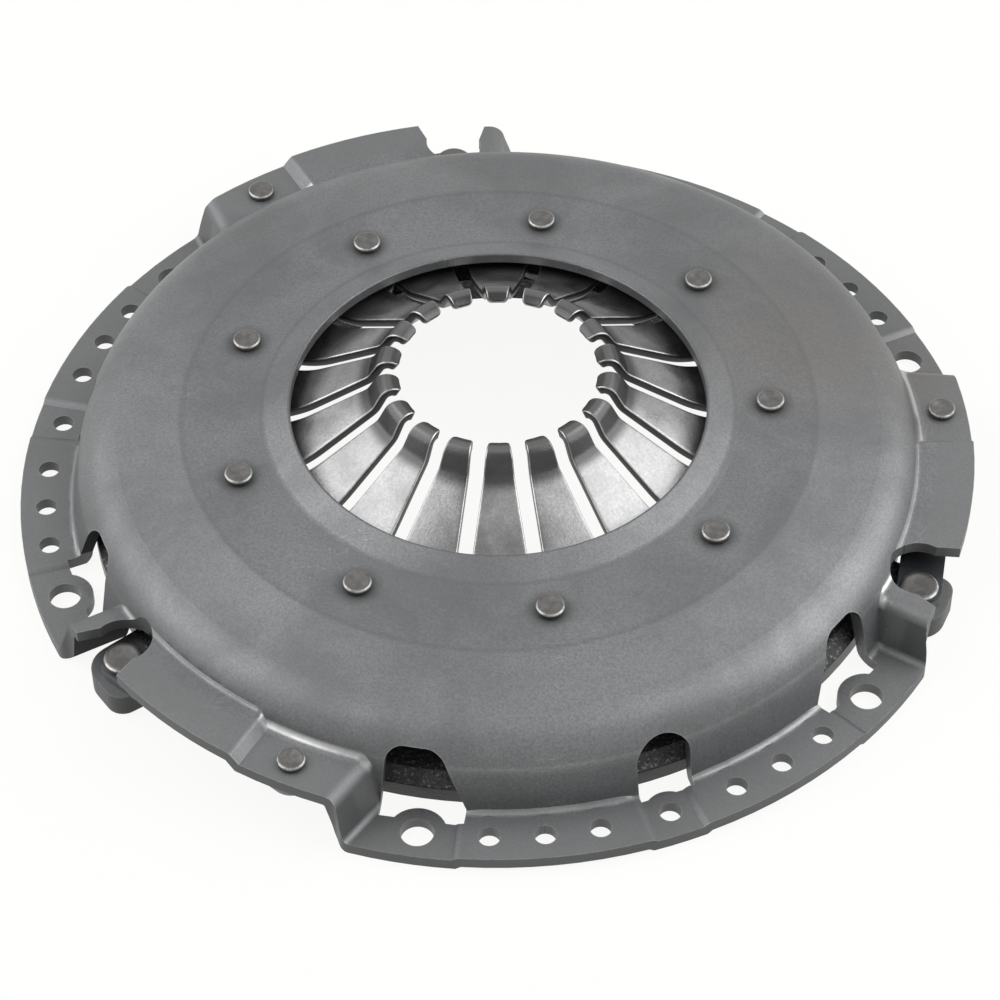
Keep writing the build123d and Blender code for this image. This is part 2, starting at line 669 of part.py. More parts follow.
# ------------------------------------------------------------- pressure plate
spring_under_seat_z = cone_top(SEAT_R) - SPRING_THICKNESS / cos(cone)
seat_top_z = spring_under_seat_z - SEAT_WIDTH / 2 * tan(cone) - SEAT_CLEARANCE
inner_top_z = collar_bottom_z - LIFT - POCKET_GAP
rim_top_z = FACE_HEIGHT + PLATE_RIM_THICKNESS
rim_top_r = PLATE_R - PLATE_SHOULDER


def lug_outline():
    """Outline of a lug that points along X; the strap leaves it towards +Y."""
    root = LUG_ROOT_WIDTH / 2
    side = LUG_WIDTH / 2
    tip = STRAP_LUG_R + LUG_TIP
    with BuildSketch() as outline:
        with BuildLine():
            FilletPolyline(
                (SEAT_R, -root),
                (rim_top_r, -root),
                (tip, -side),
                (tip, side),
                (rim_top_r, root),
                (SEAT_R, root),
                radius=(LUG_ROOT_BEND, LUG_FAR_CORNER, LUG_CORNER, LUG_ROOT_BEND),
            )
            Line((SEAT_R, root), (SEAT_R, -root))
        make_face()
    return outline.sketch


with BuildPart() as pressure_plate:
    with BuildSketch(Plane.XZ) as plate_section:
        with BuildLine():
            Polyline(
                (PLATE_INNER_R, FACE_HEIGHT),
                (PLATE_R, FACE_HEIGHT),
                (PLATE_R, FACE_HEIGHT + PLATE_BAND),
                (rim_top_r, rim_top_z),
                (SEAT_R + SEAT_FOOT_WIDTH / 2, rim_top_z),
                (SEAT_R + SEAT_WIDTH / 2, seat_top_z),
                (SEAT_R - SEAT_WIDTH / 2, seat_top_z),
                (SEAT_R - SEAT_FOOT_WIDTH / 2, rim_top_z),
                (RIVET_CIRCLE_R + COLLAR_R + PLATE_CHAMFER, inner_top_z),
                (PLATE_INNER_R, inner_top_z),
                close=True,
            )
        make_face()
        chamfer(plate_section.vertices().group_by(Axis.Y)[0], PLATE_CHAMFER)
    revolve(axis=Axis.Z)
    with BuildSketch(Plane.XY.offset(lug_underside_z)):
        with PolarLocations(0, EAR_COUNT, start_angle=STRAP_LUG_ANGLE):
            add(lug_outline())
    extrude(amount=LUG_TOP - lug_underside_z)
    with PolarLocations(STRAP_LUG_R, EAR_COUNT, start_angle=STRAP_LUG_ANGLE):
        with Locations((0, 0, lug_underside_z)):
            Cylinder(
                LUG_RIVET_TAIL_R + SHANK_GAP,
                LUG_RIVET_TAIL,
                align=(Align.CENTER, Align.CENTER, Align.MIN),
                mode=Mode.SUBTRACT,
            )
            Cylinder(
                LUG_RIVET_SHANK_R + SHANK_GAP,
                LUG_TOP,
                align=(Align.CENTER, Align.CENTER, Align.MIN),
                mode=Mode.SUBTRACT,
            )
pressure_plate.part.label = "pressure_plate"

# --------------------------------------------------------------------- export
os.makedirs("parts", exist_ok=True)


def export_copy(piece, label, angle):
    """Writes one copy of a repeated piece, turned about the axis."""
    copy = piece.rotate(Axis.Z, angle)
    copy.label = label
    export_step(copy, f"parts/{label}.step")


export_step(cover.part, "parts/cover.step")
export_step(diaphragm_spring.part, "parts/diaphragm_spring.step")
export_step(pressure_plate.part, "parts/pressure_plate.step")
export_copy(wire_ring(upper_ring_z, 0), "upper_fulcrum_ring", 0)
export_copy(wire_ring(lower_ring_z, 180), "lower_fulcrum_ring", 0)

for index in range(RIVET_COUNT):
    export_copy(spacer_rivet, f"spacer_rivet_{index + 1}", index * 360 / RIVET_COUNT)

leaves = [strap_leaf(number) for number in range(LEAF_COUNT)]
for ear in range(EAR_COUNT):
    turn = ear * EAR_PITCH
    export_copy(pad_rivet, f"cover_strap_rivet_{ear + 1}", turn)
    export_copy(lug_rivet, f"lug_rivet_{ear + 1}", turn)
    for number, leaf in enumerate(leaves):
        export_copy(leaf, f"drive_strap_{ear + 1}_leaf_{number + 1}", turn)
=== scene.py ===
import math

import bmesh
import bpy
from mathutils import Matrix, Vector


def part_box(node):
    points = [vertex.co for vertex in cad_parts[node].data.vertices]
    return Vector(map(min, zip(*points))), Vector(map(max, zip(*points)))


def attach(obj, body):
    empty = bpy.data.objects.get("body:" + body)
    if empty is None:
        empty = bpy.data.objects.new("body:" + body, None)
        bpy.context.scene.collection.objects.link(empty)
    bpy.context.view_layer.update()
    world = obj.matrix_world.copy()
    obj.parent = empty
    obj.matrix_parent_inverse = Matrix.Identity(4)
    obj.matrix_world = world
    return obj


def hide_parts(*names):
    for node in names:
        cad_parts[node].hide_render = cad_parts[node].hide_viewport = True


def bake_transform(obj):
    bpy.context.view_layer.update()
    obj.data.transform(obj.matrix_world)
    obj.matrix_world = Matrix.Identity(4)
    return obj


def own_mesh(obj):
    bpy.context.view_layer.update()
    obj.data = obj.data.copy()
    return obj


bl_info = {
    "name": "Clutch Cover Finish",
    "version": (1, 0, 0),
    "blender": (4, 5, 0),
    "location": "View3D > Sidebar > Clutch",
    "description": "Finishes a diaphragm-spring clutch cover assembly around its CAD frame",
    "category": "Object",
}

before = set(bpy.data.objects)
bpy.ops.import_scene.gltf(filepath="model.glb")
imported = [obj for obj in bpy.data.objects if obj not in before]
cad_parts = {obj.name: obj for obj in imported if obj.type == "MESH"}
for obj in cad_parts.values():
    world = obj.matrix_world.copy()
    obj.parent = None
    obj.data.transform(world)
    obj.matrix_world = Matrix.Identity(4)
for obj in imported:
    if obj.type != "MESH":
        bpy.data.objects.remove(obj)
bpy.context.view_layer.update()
MM = 0.001

# ------------------------------------------------------------ places on the part
COVER_BODY = "cover_assembly"
PLATE_BODY = "pressure_plate_assembly"
STRAP_COUNT = 3
LEAF_COUNT = 3
FINGER_COUNT = 18
COVER_LOW_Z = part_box("cover")[0].z
PLATE_LOW_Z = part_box("pressure_plate")[0].z
OPENING_R = 58.9 * MM
LIP_R = 67.2 * MM
CREASE_R = 89.9 * MM
SKIRT_R = 122.95 * MM      # foot of the skirt, at the top of the flange
SKIRT_LEAN = math.tan(math.radians(10.6))
PLATE_R = 117.29 * MM
TURNED_TOP = 6.4 * MM      # top of the plate's turned rim
TURNING_PITCH = 0.6 * MM
STRAP_FLAT = 8.0 * MM      # flat end of a leaf beyond each rivet's centre
LEAF_Z = 12.0 * MM
LEAF_CUTS = 26
RIVET_TURN = 1.9           # radians from one rivet's grain to the next one's
# rivets, in millimetres: head radius, top and seat, then the stem as (radius, height) downwards
RIVETS = {
    "spacer_rivet": {
        "body": COVER_BODY, "count": 9, "circle": 77.0, "bearing": 0.0,
        "head": (4.0, 34.42, 32.52),
        "stem": ((3.0, 32.52), (3.0, 28.82), (4.0, 28.82), (4.0, 17.74), (7.2, 17.74),
                 (7.5, 17.44), (7.5, 15.64), (7.2, 15.34), (0, 15.34)),
    },
    "cover_strap_rivet": {
        "body": COVER_BODY, "count": 3, "circle": 128.1, "bearing": 4.37,
        "head": (3.95, 19.95, 18.1),
        "stem": ((2.8, 18.1), (2.8, 11.68), (4.3, 11.68), (4.6, 11.38), (4.6, 10.1),
                 (4.38, 9.88), (0, 9.88)),
    },
    "lug_rivet": {
        "body": PLATE_BODY, "count": 3, "circle": 127.2, "bearing": -24.04,
        "head": (5.4, 13.02, 10.92),
        "stem": ((3.4, 10.92), (3.4, 2.8), (5.2, 2.8), (5.2, 1.5), (4.9, 1.2), (0, 1.2)),
    },
}
RIVET_CIRCLE_R = RIVETS["spacer_rivet"]["circle"] * MM
# diaphragm spring, in millimetres: its path is (radius, height) along its top, from rim to tip
SPRING_PATH = ((99.00, 21.525), (56.90, 29.708), (36.80, 42.415), (32.40, 50.036), (27.70, 46.745))
SPRING_BENDS = (25.0, 4.0, 4.0)
SPRING_THICKNESS = 2.7
SLOT_HALF = 2.1
KEYHOLE_R = 4.5
KEYHOLE_AT = 77.0          # radius of the keyholes' centres
KEYHOLE_STEPS = 14
UPRIGHT_WALLS = (66.0, 70.0, 86.0, 92.0)  # radii between which the keyholes' walls stand upright
EDGE_ROUND = 0.45          # rounding of the fingers' edges
ROUND_FROM = 1.5           # half width of a gap from which its edges are fully rounded
TIP_CORNER = 1.4           # rounding of the corners of each tip, in plan
TIP_STEPS = (1.4, 1.0, 0.65, 0.35, 0.15, 0.05, 0.0)
LONGEST_STEP = 7.0         # between two cross-sections on a straight stretch
FACE_STEPS = (-1, -0.9, -0.55, 0, 0.55, 0.9, 1)  # points across a finger's half widths
EDGE_MASK = "rubbed_and_lit_edge"  # mesh attribute, 1 along the spring's rounded edges, which are worn and painted bright as a highlight
WELD = 1e-6                # points of a mesh this close together are one

# ---------------------------------------------------------------- fixed colours
# burnished bends at the skirt's foot, lightened further as a painted highlight
SHEET_BURNISH_AND_HIGHLIGHT = (0.46, 0.465, 0.46)
RUBBED_EDGE = (0.36, 0.36, 0.365)
SCUFF = (0.5, 0.5, 0.5)
BROWN_BLOOM = (0.12, 0.105, 0.09)
BLOOM_AT = (0.098, 0.035, 0.025)
RIM_WEAR_AND_HIGHLIGHT = (0.42, 0.42, 0.41)
WIRE_DARK, WIRE_LIGHT = (0.10, 0.10, 0.105), (0.2, 0.2, 0.205)
IRON_SPECK = (0.42, 0.42, 0.43)
IRON_EDGE = (0.3, 0.3, 0.3)
LUG_DARK, LUG_LIGHT = (0.095, 0.097, 0.098), (0.135, 0.137, 0.137)
TURNED_DARK, TURNED_LIGHT = (0.30, 0.30, 0.305), (0.38, 0.38, 0.385)

# ----------------------------------------------------------------------- stage
FLOOR_HALF = 3.0
FLOOR_LIT = (0.42, 0.42, 0.42)   # what the floor sends back to the part
FLOOR_SEEN = (0.95, 0.95, 0.94)
FLOOR_GLOW = 0.93                # share of plain white in the floor where it is seen
WHITE = (0.99, 0.99, 0.97, 1)
SKY_LOW_SHARE = 0.45             # light from the horizon, as a share of that from above
SKY_FULL_AT = 0.75               # height on the sky's unit sphere where it is full
SENSOR_WIDTH = 36
# lamps: name, place, share of the lamp power, width
STAGE_LAMPS = (
    ("left_lamp", (-0.80, 0.05, 0.68), 1.0, 1.05),
    ("right_lamp", (0.80, 0.03, 0.66), 1.1, 1.05),
)


# ------------------------------------------------------------------- node tools
class NodeTree:
    """A thin hand on a node tree: adds nodes, sets their plain sockets and links them."""

    def __init__(self, tree):
        self.tree = tree

    def node(self, kind, settings=None, **values):
        made = self.tree.nodes.new(kind)
        for name, value in (settings or {}).items():
            setattr(made, name, value)
        for name, value in values.items():
            made.inputs[name.replace("_", " ")].default_value = value
        return made

    def link(self, output, socket):
        self.tree.links.new(output, socket)
        return socket

    def math(self, operation, first, second=None, clamp=False):
        """Math node; each operand is a number or an output."""
        made = self.node("ShaderNodeMath", {"operation": operation, "use_clamp": clamp})
        for index, operand in enumerate((first, second)):
            if operand is None:
                continue
            if isinstance(operand, (int, float)):
                made.inputs[index].default_value = operand
            else:
                self.link(operand, made.inputs[index])
        return made.outputs[0]

    def mix(self, factor, first, second, factor_scale=None):
        """Colour mix; the factor is a number or an output, and so is each colour."""
        if factor_scale is not None:
            factor = self.math("MULTIPLY", factor, factor_scale)
        made = self.node("ShaderNodeMix", {"data_type": "RGBA"})
        for place, operand in ((0, factor), (6, first), (7, second)):
            socket = made.inputs[place]
            if isinstance(operand, (int, float)):
                socket.default_value = operand
            elif isinstance(operand, tuple):
                socket.default_value = (*operand, 1)
            else:
                self.link(operand, socket)
        return made.outputs[2]

    def map_range(self, value, low, high, to_low=0.0, to_high=1.0, smooth=True):
        """Value carried from one span to another, held at the ends."""
        kind = "SMOOTHSTEP" if smooth else "LINEAR"
        made = self.node("ShaderNodeMapRange", {"interpolation_type": kind})
        self.link(value, made.inputs["Value"])
        made.inputs["From Min"].default_value = low
        made.inputs["From Max"].default_value = high
        made.inputs["To Min"].default_value = to_low
        made.inputs["To Max"].default_value = to_high
        return made.outputs["Result"]

    def band(self, value, low_out, low_in, high_in, high_out):
        """1 between the two inner values, fading to 0 at the two outer ones."""
        rising = self.map_range(value, low_out, low_in)
        return self.math("MULTIPLY", rising, self.map_range(value, high_out, high_in))

    def distance(self, first, second):
        """Length of two offsets at right angles to each other."""
        squares = [self.math("MULTIPLY", offset, offset) for offset in (first, second)]
        return self.math("SQRT", self.math("ADD", *squares))

    def object_place(self):
        """Where a point is on the object, in metres."""
        return self.node("ShaderNodeTexCoord").outputs["Object"]


def new_group(name, inputs, outputs):
    """Shader node group with its sockets. Returns the group, its hand, and both ends."""
    group = bpy.data.node_groups.new(name, "ShaderNodeTree")
    for label, kind, default in inputs:
        socket = group.interface.new_socket(label, in_out="INPUT", socket_type=kind)
        if default is not None:
            socket.default_value = default
    for label, kind in outputs:
        group.interface.new_socket(label, in_out="OUTPUT", socket_type=kind)
    hand = NodeTree(group)
    return group, hand, hand.node("NodeGroupInput"), hand.node("NodeGroupOutput")


def place_group(hand, group, **values):
    """Group node with its own values in a material."""
    made = hand.node("ShaderNodeGroup")
    made.node_tree = group
    for name, value in values.items():
        socket = made.inputs[name.replace("_", " ")]
        if isinstance(value, bpy.types.NodeSocket):
            hand.link(value, socket)
        else:
            socket.default_value = value
    return made


# -------------------------------------------------------------- shared effects
def sheet_grain_group():
    """Fine grain of metal skin: light and dark specks over a soft cloud."""
    group, hand, source, sink = new_group(
        "Metal grain",
        [("Grain Scale", "NodeSocketFloat", 900.0), ("Cloud Scale", "NodeSocketFloat", 22.0)],
        [("Tone", "NodeSocketFloat"), ("Cloud", "NodeSocketFloat"), ("Height", "NodeSocketFloat")],
    )
    place = hand.object_place()
    fine = hand.node("ShaderNodeTexNoise", Detail=3.0, Roughness=0.65)
    cloud = hand.node("ShaderNodeTexNoise", Detail=5.0, Roughness=0.6, Distortion=0.4)
    for noise, scale in ((fine, "Grain Scale"), (cloud, "Cloud Scale")):
        hand.link(place, noise.inputs["Vector"])
        hand.link(source.outputs[scale], noise.inputs["Scale"])
    hand.link(fine.outputs["Fac"], sink.inputs["Height"])
    hand.link(hand.map_range(fine.outputs["Fac"], 0.3, 0.7), sink.inputs["Tone"])
    hand.link(hand.map_range(cloud.outputs["Fac"], 0.3, 0.7), sink.inputs["Cloud"])
    return group


def edge_wear_group():
    """Mask that is bright along sheared edges, broken up by noise."""
    group, hand, source, sink = new_group(
        "Edge wear",
        [("Width", "NodeSocketFloat", 0.0008), ("Break Up", "NodeSocketFloat", 260.0)],
        [("Mask", "NodeSocketFloat")],
    )
    place = hand.object_place()
    bevel = hand.node("ShaderNodeBevel", {"samples": 6})
    hand.link(source.outputs["Width"], bevel.inputs["Radius"])
    geometry = hand.node("ShaderNodeNewGeometry")
    turn = hand.node("ShaderNodeVectorMath", {"operation": "DOT_PRODUCT"})
    hand.link(bevel.outputs["Normal"], turn.inputs[0])
    hand.link(geometry.outputs["Normal"], turn.inputs[1])
    edge = hand.map_range(turn.outputs["Value"], 0.99, 0.82)
    noise = hand.node("ShaderNodeTexNoise", Detail=3.0, Roughness=0.6)
    hand.link(place, noise.inputs["Vector"])
    hand.link(source.outputs["Break Up"], noise.inputs["Scale"])
    patchy = hand.map_range(noise.outputs["Fac"], 0.3, 0.62)
    hand.link(hand.math("MULTIPLY", edge, patchy), sink.inputs["Mask"])
    return group


def scuff_group():
    """Mask of sparse fine scuffs that run across the part in two directions."""
    group, hand, source, sink = new_group(
        "Handling scuffs",
        [("Amount", "NodeSocketFloat", 0.5)],
        [("Mask", "NodeSocketFloat")],
    )
    place = hand.object_place()
    total = None
    for turn, stretch in ((0.5, 14.0), (-0.9, 10.0)):
        mapping = hand.node("ShaderNodeMapping")
        mapping.inputs["Rotation"].default_value = (0.35, 0.2, turn)
        mapping.inputs["Scale"].default_value = (1.0, stretch, 1.0)
        hand.link(place, mapping.inputs["Vector"])
        lines = hand.node(
            "ShaderNodeTexNoise", Scale=34.0, Detail=2.0, Roughness=0.4, Distortion=0.25
        )
        hand.link(mapping.outputs["Vector"], lines.inputs["Vector"])
        thin = hand.math("ABSOLUTE", hand.math("SUBTRACT", lines.outputs["Fac"], 0.5))
        stroke = hand.map_range(thin, 0.0035, 0.0)
        total = stroke if total is None else hand.math("MAXIMUM", total, stroke)
    where = hand.node("ShaderNodeTexNoise", Scale=30.0, Detail=1.0)
    hand.link(place, where.inputs["Vector"])
    some = hand.map_range(where.outputs["Fac"], 0.62, 0.74)
    shown = hand.math("MULTIPLY", hand.math("MULTIPLY", total, some), source.outputs["Amount"])
    hand.link(shown, sink.inputs["Mask"])
    return group


def round_place_group():
    """Where a point is on its piece: radius, height, bearing about Z, and its facing up."""
    group, hand, source, sink = new_group(
        "Round place",
        [],
        [(name, "NodeSocketFloat") for name in ("Radius", "Height", "Bearing", "Facing Up")],
    )
    split = hand.node("ShaderNodeSeparateXYZ")
    hand.link(hand.object_place(), split.inputs[0])
    across, along = split.outputs["X"], split.outputs["Y"]
    hand.link(hand.distance(across, along), sink.inputs["Radius"])
    hand.link(split.outputs["Z"], sink.inputs["Height"])
    hand.link(hand.math("ARCTAN2", along, across), sink.inputs["Bearing"])
    facing = hand.node("ShaderNodeSeparateXYZ")
    hand.link(hand.node("ShaderNodeNewGeometry").outputs["Normal"], facing.inputs[0])
    hand.link(facing.outputs["Z"], sink.inputs["Facing Up"])
    return group


SHARED_EFFECTS = {}


def effect(name):
    """Shared node group by name, built on its first use."""
    makers = {
        "grain": sheet_grain_group,
        "wear": edge_wear_group,
        "scuffs": scuff_group,
        "place": round_place_group,
    }
    if name not in SHARED_EFFECTS:
        SHARED_EFFECTS[name] = makers[name]()
    return SHARED_EFFECTS[name]


def new_material(name):
    """Empty material with a Principled shader. Returns the material, its hand and the shader."""
    material = bpy.data.materials.new(f"{name}_finish")
    material.use_nodes = True
    hand = NodeTree(material.node_tree)
    material.node_tree.nodes.clear()
    shader = hand.node("ShaderNodeBsdfPrincipled")
    output = hand.node("ShaderNodeOutputMaterial")
    hand.link(shader.outputs["BSDF"], output.inputs["Surface"])
    return material, hand, shader


def add_bump(hand, shader, height, strength, distance):
    """Bump from a height into the shader's normal."""
    bump = hand.node("ShaderNodeBump", Strength=strength, Distance=distance)
    hand.link(height, bump.inputs["Height"])
    hand.link(bump.outputs["Normal"], shader.inputs["Normal"])


def shade(colour, share):
    """A colour made lighter or darker."""
    return tuple(min(channel * share, 1.0) for channel in colour)


# -------------------------------------------------------------------- finishes
def rivet_stain_and_shadow(hand, place):
    """Mask of the dark ring round each of the nine spacer rivets: a stain, and partly a painted
    contact shadow.
    """
    pitch = 2 * math.pi / RIVETS["spacer_rivet"]["count"]
    turns = hand.math("DIVIDE", place.outputs["Bearing"], pitch)
    aside = hand.math("SUBTRACT", turns, hand.math("ROUND", turns))
    aside = hand.math("MULTIPLY", aside, pitch * RIVET_CIRCLE_R)
    outwards = hand.math("SUBTRACT", place.outputs["Radius"], RIVET_CIRCLE_R)
    return hand.map_range(hand.distance(aside, outwards), 8.0 * MM, 3.9 * MM)


def skirt_foot_burnish_and_highlight(hand, place, grain):
    """Mask of the bright bend at the skirt's foot, on the flange and on the ears: burnished, and
    partly a painted highlight.
    """
    radius, height = place.outputs["Radius"], place.outputs["Height"]
    skin = hand.math("SUBTRACT", SKIRT_R, hand.math("MULTIPLY", height, SKIRT_LEAN))
    off_skin = hand.math("SUBTRACT", radius, skin)
    near = hand.band(off_skin, 0.2 * MM, 0.8 * MM, 1.7 * MM, 3.2 * MM)
    bend = hand.band(place.outputs["Facing Up"], 0.25, 0.45, 0.88, 0.96)
    low = hand.map_range(height, 27 * MM, 25 * MM)
    on_ear = hand.map_range(height, 9 * MM, 16 * MM, 0.3, 1.0)
    patchy = hand.map_range(grain.outputs["Cloud"], 0.1, 0.8, 0.3, 1.0)
    share = hand.math("MULTIPLY", hand.math("MULTIPLY", low, on_ear), patchy)
    return hand.math("MULTIPLY", hand.math("MULTIPLY", near, bend), share)


def phosphated_sheet():
    """Matte grey pressed sheet: cloudy and finely grained, worn by the rubbing of the press; a
    painted highlight on the bends at the skirt's foot, and painted shade inside.
    """
    settings = bpy.context.scene.clutch_finish
    material, hand, shader = new_material("phosphated_sheet")
    colour = tuple(settings.sheet_colour)
    grain = place_group(hand, effect("grain"), Grain_Scale=1500.0, Cloud_Scale=26.0)
    wear = place_group(hand, effect("wear"), Width=0.0007, Break_Up=420.0)
    scuffs = place_group(hand, effect("scuffs"), Amount=settings.scuff_amount)
    place = place_group(hand, effect("place"))
    radius, up = place.outputs["Radius"], place.outputs["Facing Up"]
    tone = hand.mix(grain.outputs["Cloud"], shade(colour, 0.80), shade(colour, 1.22))
    tone = hand.mix(grain.outputs["Tone"], tone, shade(colour, 0.58), factor_scale=0.6)
    # the rolled flange and the ears are a little darker than the drawn dome
    on_flange = hand.map_range(radius, SKIRT_R + 0.5 * MM, SKIRT_R + 3 * MM)
    tone = hand.mix(on_flange, tone, tuple(settings.flange_colour), factor_scale=0.55)
    # darker along the two creases
    for crease, width, depth in ((CREASE_R, 1.4 * MM, 0.35), (LIP_R, 1.3 * MM, 0.4)):
        off_crease = hand.math("ABSOLUTE", hand.math("SUBTRACT", radius, crease))
        crease_darkening = hand.map_range(off_crease, width, 0.0)
        tone = hand.mix(crease_darkening, tone, shade(colour, 0.55), factor_scale=depth)
    # round each rivet a dark ring: a stain, and partly a painted contact shadow
    tone = hand.mix(rivet_stain_and_shadow(hand, place), tone, shade(colour, 0.34), factor_scale=0.6)
    # darker at the edge of the opening
    opening = hand.map_range(radius, OPENING_R + 1.1 * MM, OPENING_R + 0.2 * MM)
    tone = hand.mix(opening, tone, shade(colour, 0.5), factor_scale=0.4)
    # a faint brown bloom on one side of the dome
    offset = hand.node("ShaderNodeVectorMath", {"operation": "DISTANCE"})
    offset.inputs[1].default_value = BLOOM_AT
    hand.link(hand.object_place(), offset.inputs[0])
    bloom = hand.map_range(offset.outputs["Value"], 55 * MM, 12 * MM)
    bloom = hand.math("MULTIPLY", bloom, grain.outputs["Cloud"])
    tone = hand.mix(bloom, tone, BROWN_BLOOM, factor_scale=0.55)
    # made bright: the worn edges and the scuffs, and the bends at the skirt's foot, which are
    # burnished and carry a painted highlight
    foot = skirt_foot_burnish_and_highlight(hand, place, grain)
    tone = hand.mix(foot, tone, SHEET_BURNISH_AND_HIGHLIGHT, factor_scale=0.8)
    tone = hand.mix(wear.outputs["Mask"], tone, RUBBED_EDGE, factor_scale=0.45)
    tone = hand.mix(scuffs.outputs["Mask"], tone, SCUFF, factor_scale=0.55)
    # sheared rim, rough and dark; the inside, which faces down, is painted near black as shade
    upright = hand.map_range(up, 0.45, 0.2)
    sheared = hand.math("MULTIPLY", upright, hand.map_range(radius, 128 * MM, 131 * MM))
    tone = hand.mix(sheared, tone, shade(colour, 0.5), factor_scale=0.6)
    inside = hand.map_range(up, -0.05, -0.3)
    tone = hand.mix(inside, tone, shade(colour, 0.14), factor_scale=0.95)
    hand.link(tone, shader.inputs["Base Color"])
    hand.link(hand.map_range(foot, 0, 1, 0.5, 0.75, False), shader.inputs["Metallic"])
    rough = hand.map_range(grain.outputs["Cloud"], 0.0, 1.0, 0.50, 0.42, False)
    rough = hand.math("ADD", rough, hand.math("MULTIPLY", inside, 0.4))
    rough = hand.math("SUBTRACT", rough, hand.math("MULTIPLY", foot, 0.14))
    hand.link(rough, shader.inputs["Roughness"])
    add_bump(hand, shader, grain.outputs["Height"], 0.16, 0.0002)
    return material


def spring_steel():
    """Hardened spring steel: bright fingers; the crowns' risers dark, as a heat band and a painted
    dark reflection; sides painted dark as shade; rounded edges bright, worn and partly a painted
    highlight.
    """
    settings = bpy.context.scene.clutch_finish
    material, hand, shader = new_material("spring_steel")
    colour = tuple(settings.spring_colour)
    grain = place_group(hand, effect("grain"), Grain_Scale=1300.0, Cloud_Scale=75.0)
    place = place_group(hand, effect("place"))
    radius, up = place.outputs["Radius"], place.outputs["Facing Up"]
    tone = hand.mix(grain.outputs["Cloud"], shade(colour, 0.72), shade(colour, 1.25))
    tone = hand.mix(grain.outputs["Tone"], tone, shade(colour, 0.5), factor_scale=0.4)
    # the crowns' risers are darker: a heat band from hardening, and a painted dark reflection; a
    # lighter band on top is polish from the bearing and a painted glint
    heat_band_and_dark_reflection = hand.map_range(radius, 41.0 * MM, 37.6 * MM)
    tone = hand.mix(heat_band_and_dark_reflection, tone, shade(colour, 0.13), factor_scale=0.85)
    polish_and_glint = hand.band(radius, 29.6 * MM, 30.8 * MM, 32.0 * MM, 33.4 * MM)
    tone = hand.mix(polish_and_glint, tone, shade(colour, 0.9), factor_scale=0.5)
    # painted shade: darker under the cover and on the faces that look down
    shade_under_cover = hand.map_range(radius, 57 * MM, 63 * MM)
    tone = hand.mix(shade_under_cover, tone, shade(colour, 0.3), factor_scale=0.8)
    shaded_underside = hand.map_range(up, -0.1, -0.4)
    tone = hand.mix(shaded_underside, tone, shade(colour, 0.45), factor_scale=0.7)
    # painted shade: the sheared sides of the fingers are dark as the slots between them; their
    # rounded edges are bright, worn and partly a painted highlight
    sheared = hand.band(up, -0.5, -0.3, 0.22, 0.4)
    tone = hand.mix(sheared, tone, shade(colour, 0.16), factor_scale=0.9)
    edge_rub_and_shine = hand.node("ShaderNodeAttribute", {"attribute_name": EDGE_MASK}).outputs["Fac"]
    edge_rub_and_shine = hand.math("MULTIPLY", edge_rub_and_shine, hand.map_range(grain.outputs["Cloud"], 0, 1, 0.4, 1))
    tone = hand.mix(edge_rub_and_shine, tone, shade(colour, 2.2), factor_scale=0.7)
    hand.link(tone, shader.inputs["Base Color"])
    shader.inputs["Metallic"].default_value = 0.9
    rough = hand.map_range(grain.outputs["Cloud"], 0, 1, 0.26, 0.38, False)
    hand.link(rough, shader.inputs["Roughness"])
    add_bump(hand, shader, grain.outputs["Height"], 0.25, 0.0002)
    return material


def rivet_steel():
    """Upset rivet heads: mottled dark steel; the rim lighter, worn and partly a painted highlight;
    the sides darker as painted shade.
    """
    settings = bpy.context.scene.clutch_finish
    material, hand, shader = new_material("rivet_steel")
    colour = tuple(settings.rivet_colour)
    grain = place_group(hand, effect("grain"), Grain_Scale=1800.0, Cloud_Scale=420.0)
    up = place_group(hand, effect("place")).outputs["Facing Up"]
    tone = hand.mix(grain.outputs["Cloud"], shade(colour, 0.75), shade(colour, 1.2))
    tone = hand.mix(grain.outputs["Tone"], tone, shade(colour, 0.6), factor_scale=0.25)
    # lighter rim: wear, and partly a painted highlight
    rim = hand.band(up, 0.2, 0.45, 0.88, 0.97)
    patchy = hand.map_range(grain.outputs["Cloud"], 0.1, 0.7, 0.35, 1.0)
    rim = hand.math("MULTIPLY", rim, patchy)
    tone = hand.mix(rim, tone, RIM_WEAR_AND_HIGHLIGHT, factor_scale=0.7)
    # painted shade: the sides of the head and stem, which look sideways, are darker
    shaded_side = hand.map_range(up, 0.25, 0.05)
    tone = hand.mix(shaded_side, tone, shade(colour, 0.45), factor_scale=0.7)
    hand.link(tone, shader.inputs["Base Color"])
    shader.inputs["Metallic"].default_value = 0.7
    rough = hand.map_range(grain.outputs["Tone"], 0, 1, 0.34, 0.48, False)
    hand.link(rough, shader.inputs["Roughness"])
    add_bump(hand, shader, grain.outputs["Height"], 0.25, 0.0002)
    return material


def ring_wire():
    """Drawn round wire, oiled and dull."""
    material, hand, shader = new_material("ring_wire")
    grain = place_group(hand, effect("grain"), Grain_Scale=1200.0, Cloud_Scale=90.0)
    tone = hand.mix(grain.outputs["Cloud"], WIRE_DARK, WIRE_LIGHT)
    hand.link(tone, shader.inputs["Base Color"])
    shader.inputs["Metallic"].default_value = 0.8
    shader.inputs["Roughness"].default_value = 0.4
    add_bump(hand, shader, grain.outputs["Height"], 0.1, 0.0001)
    return material


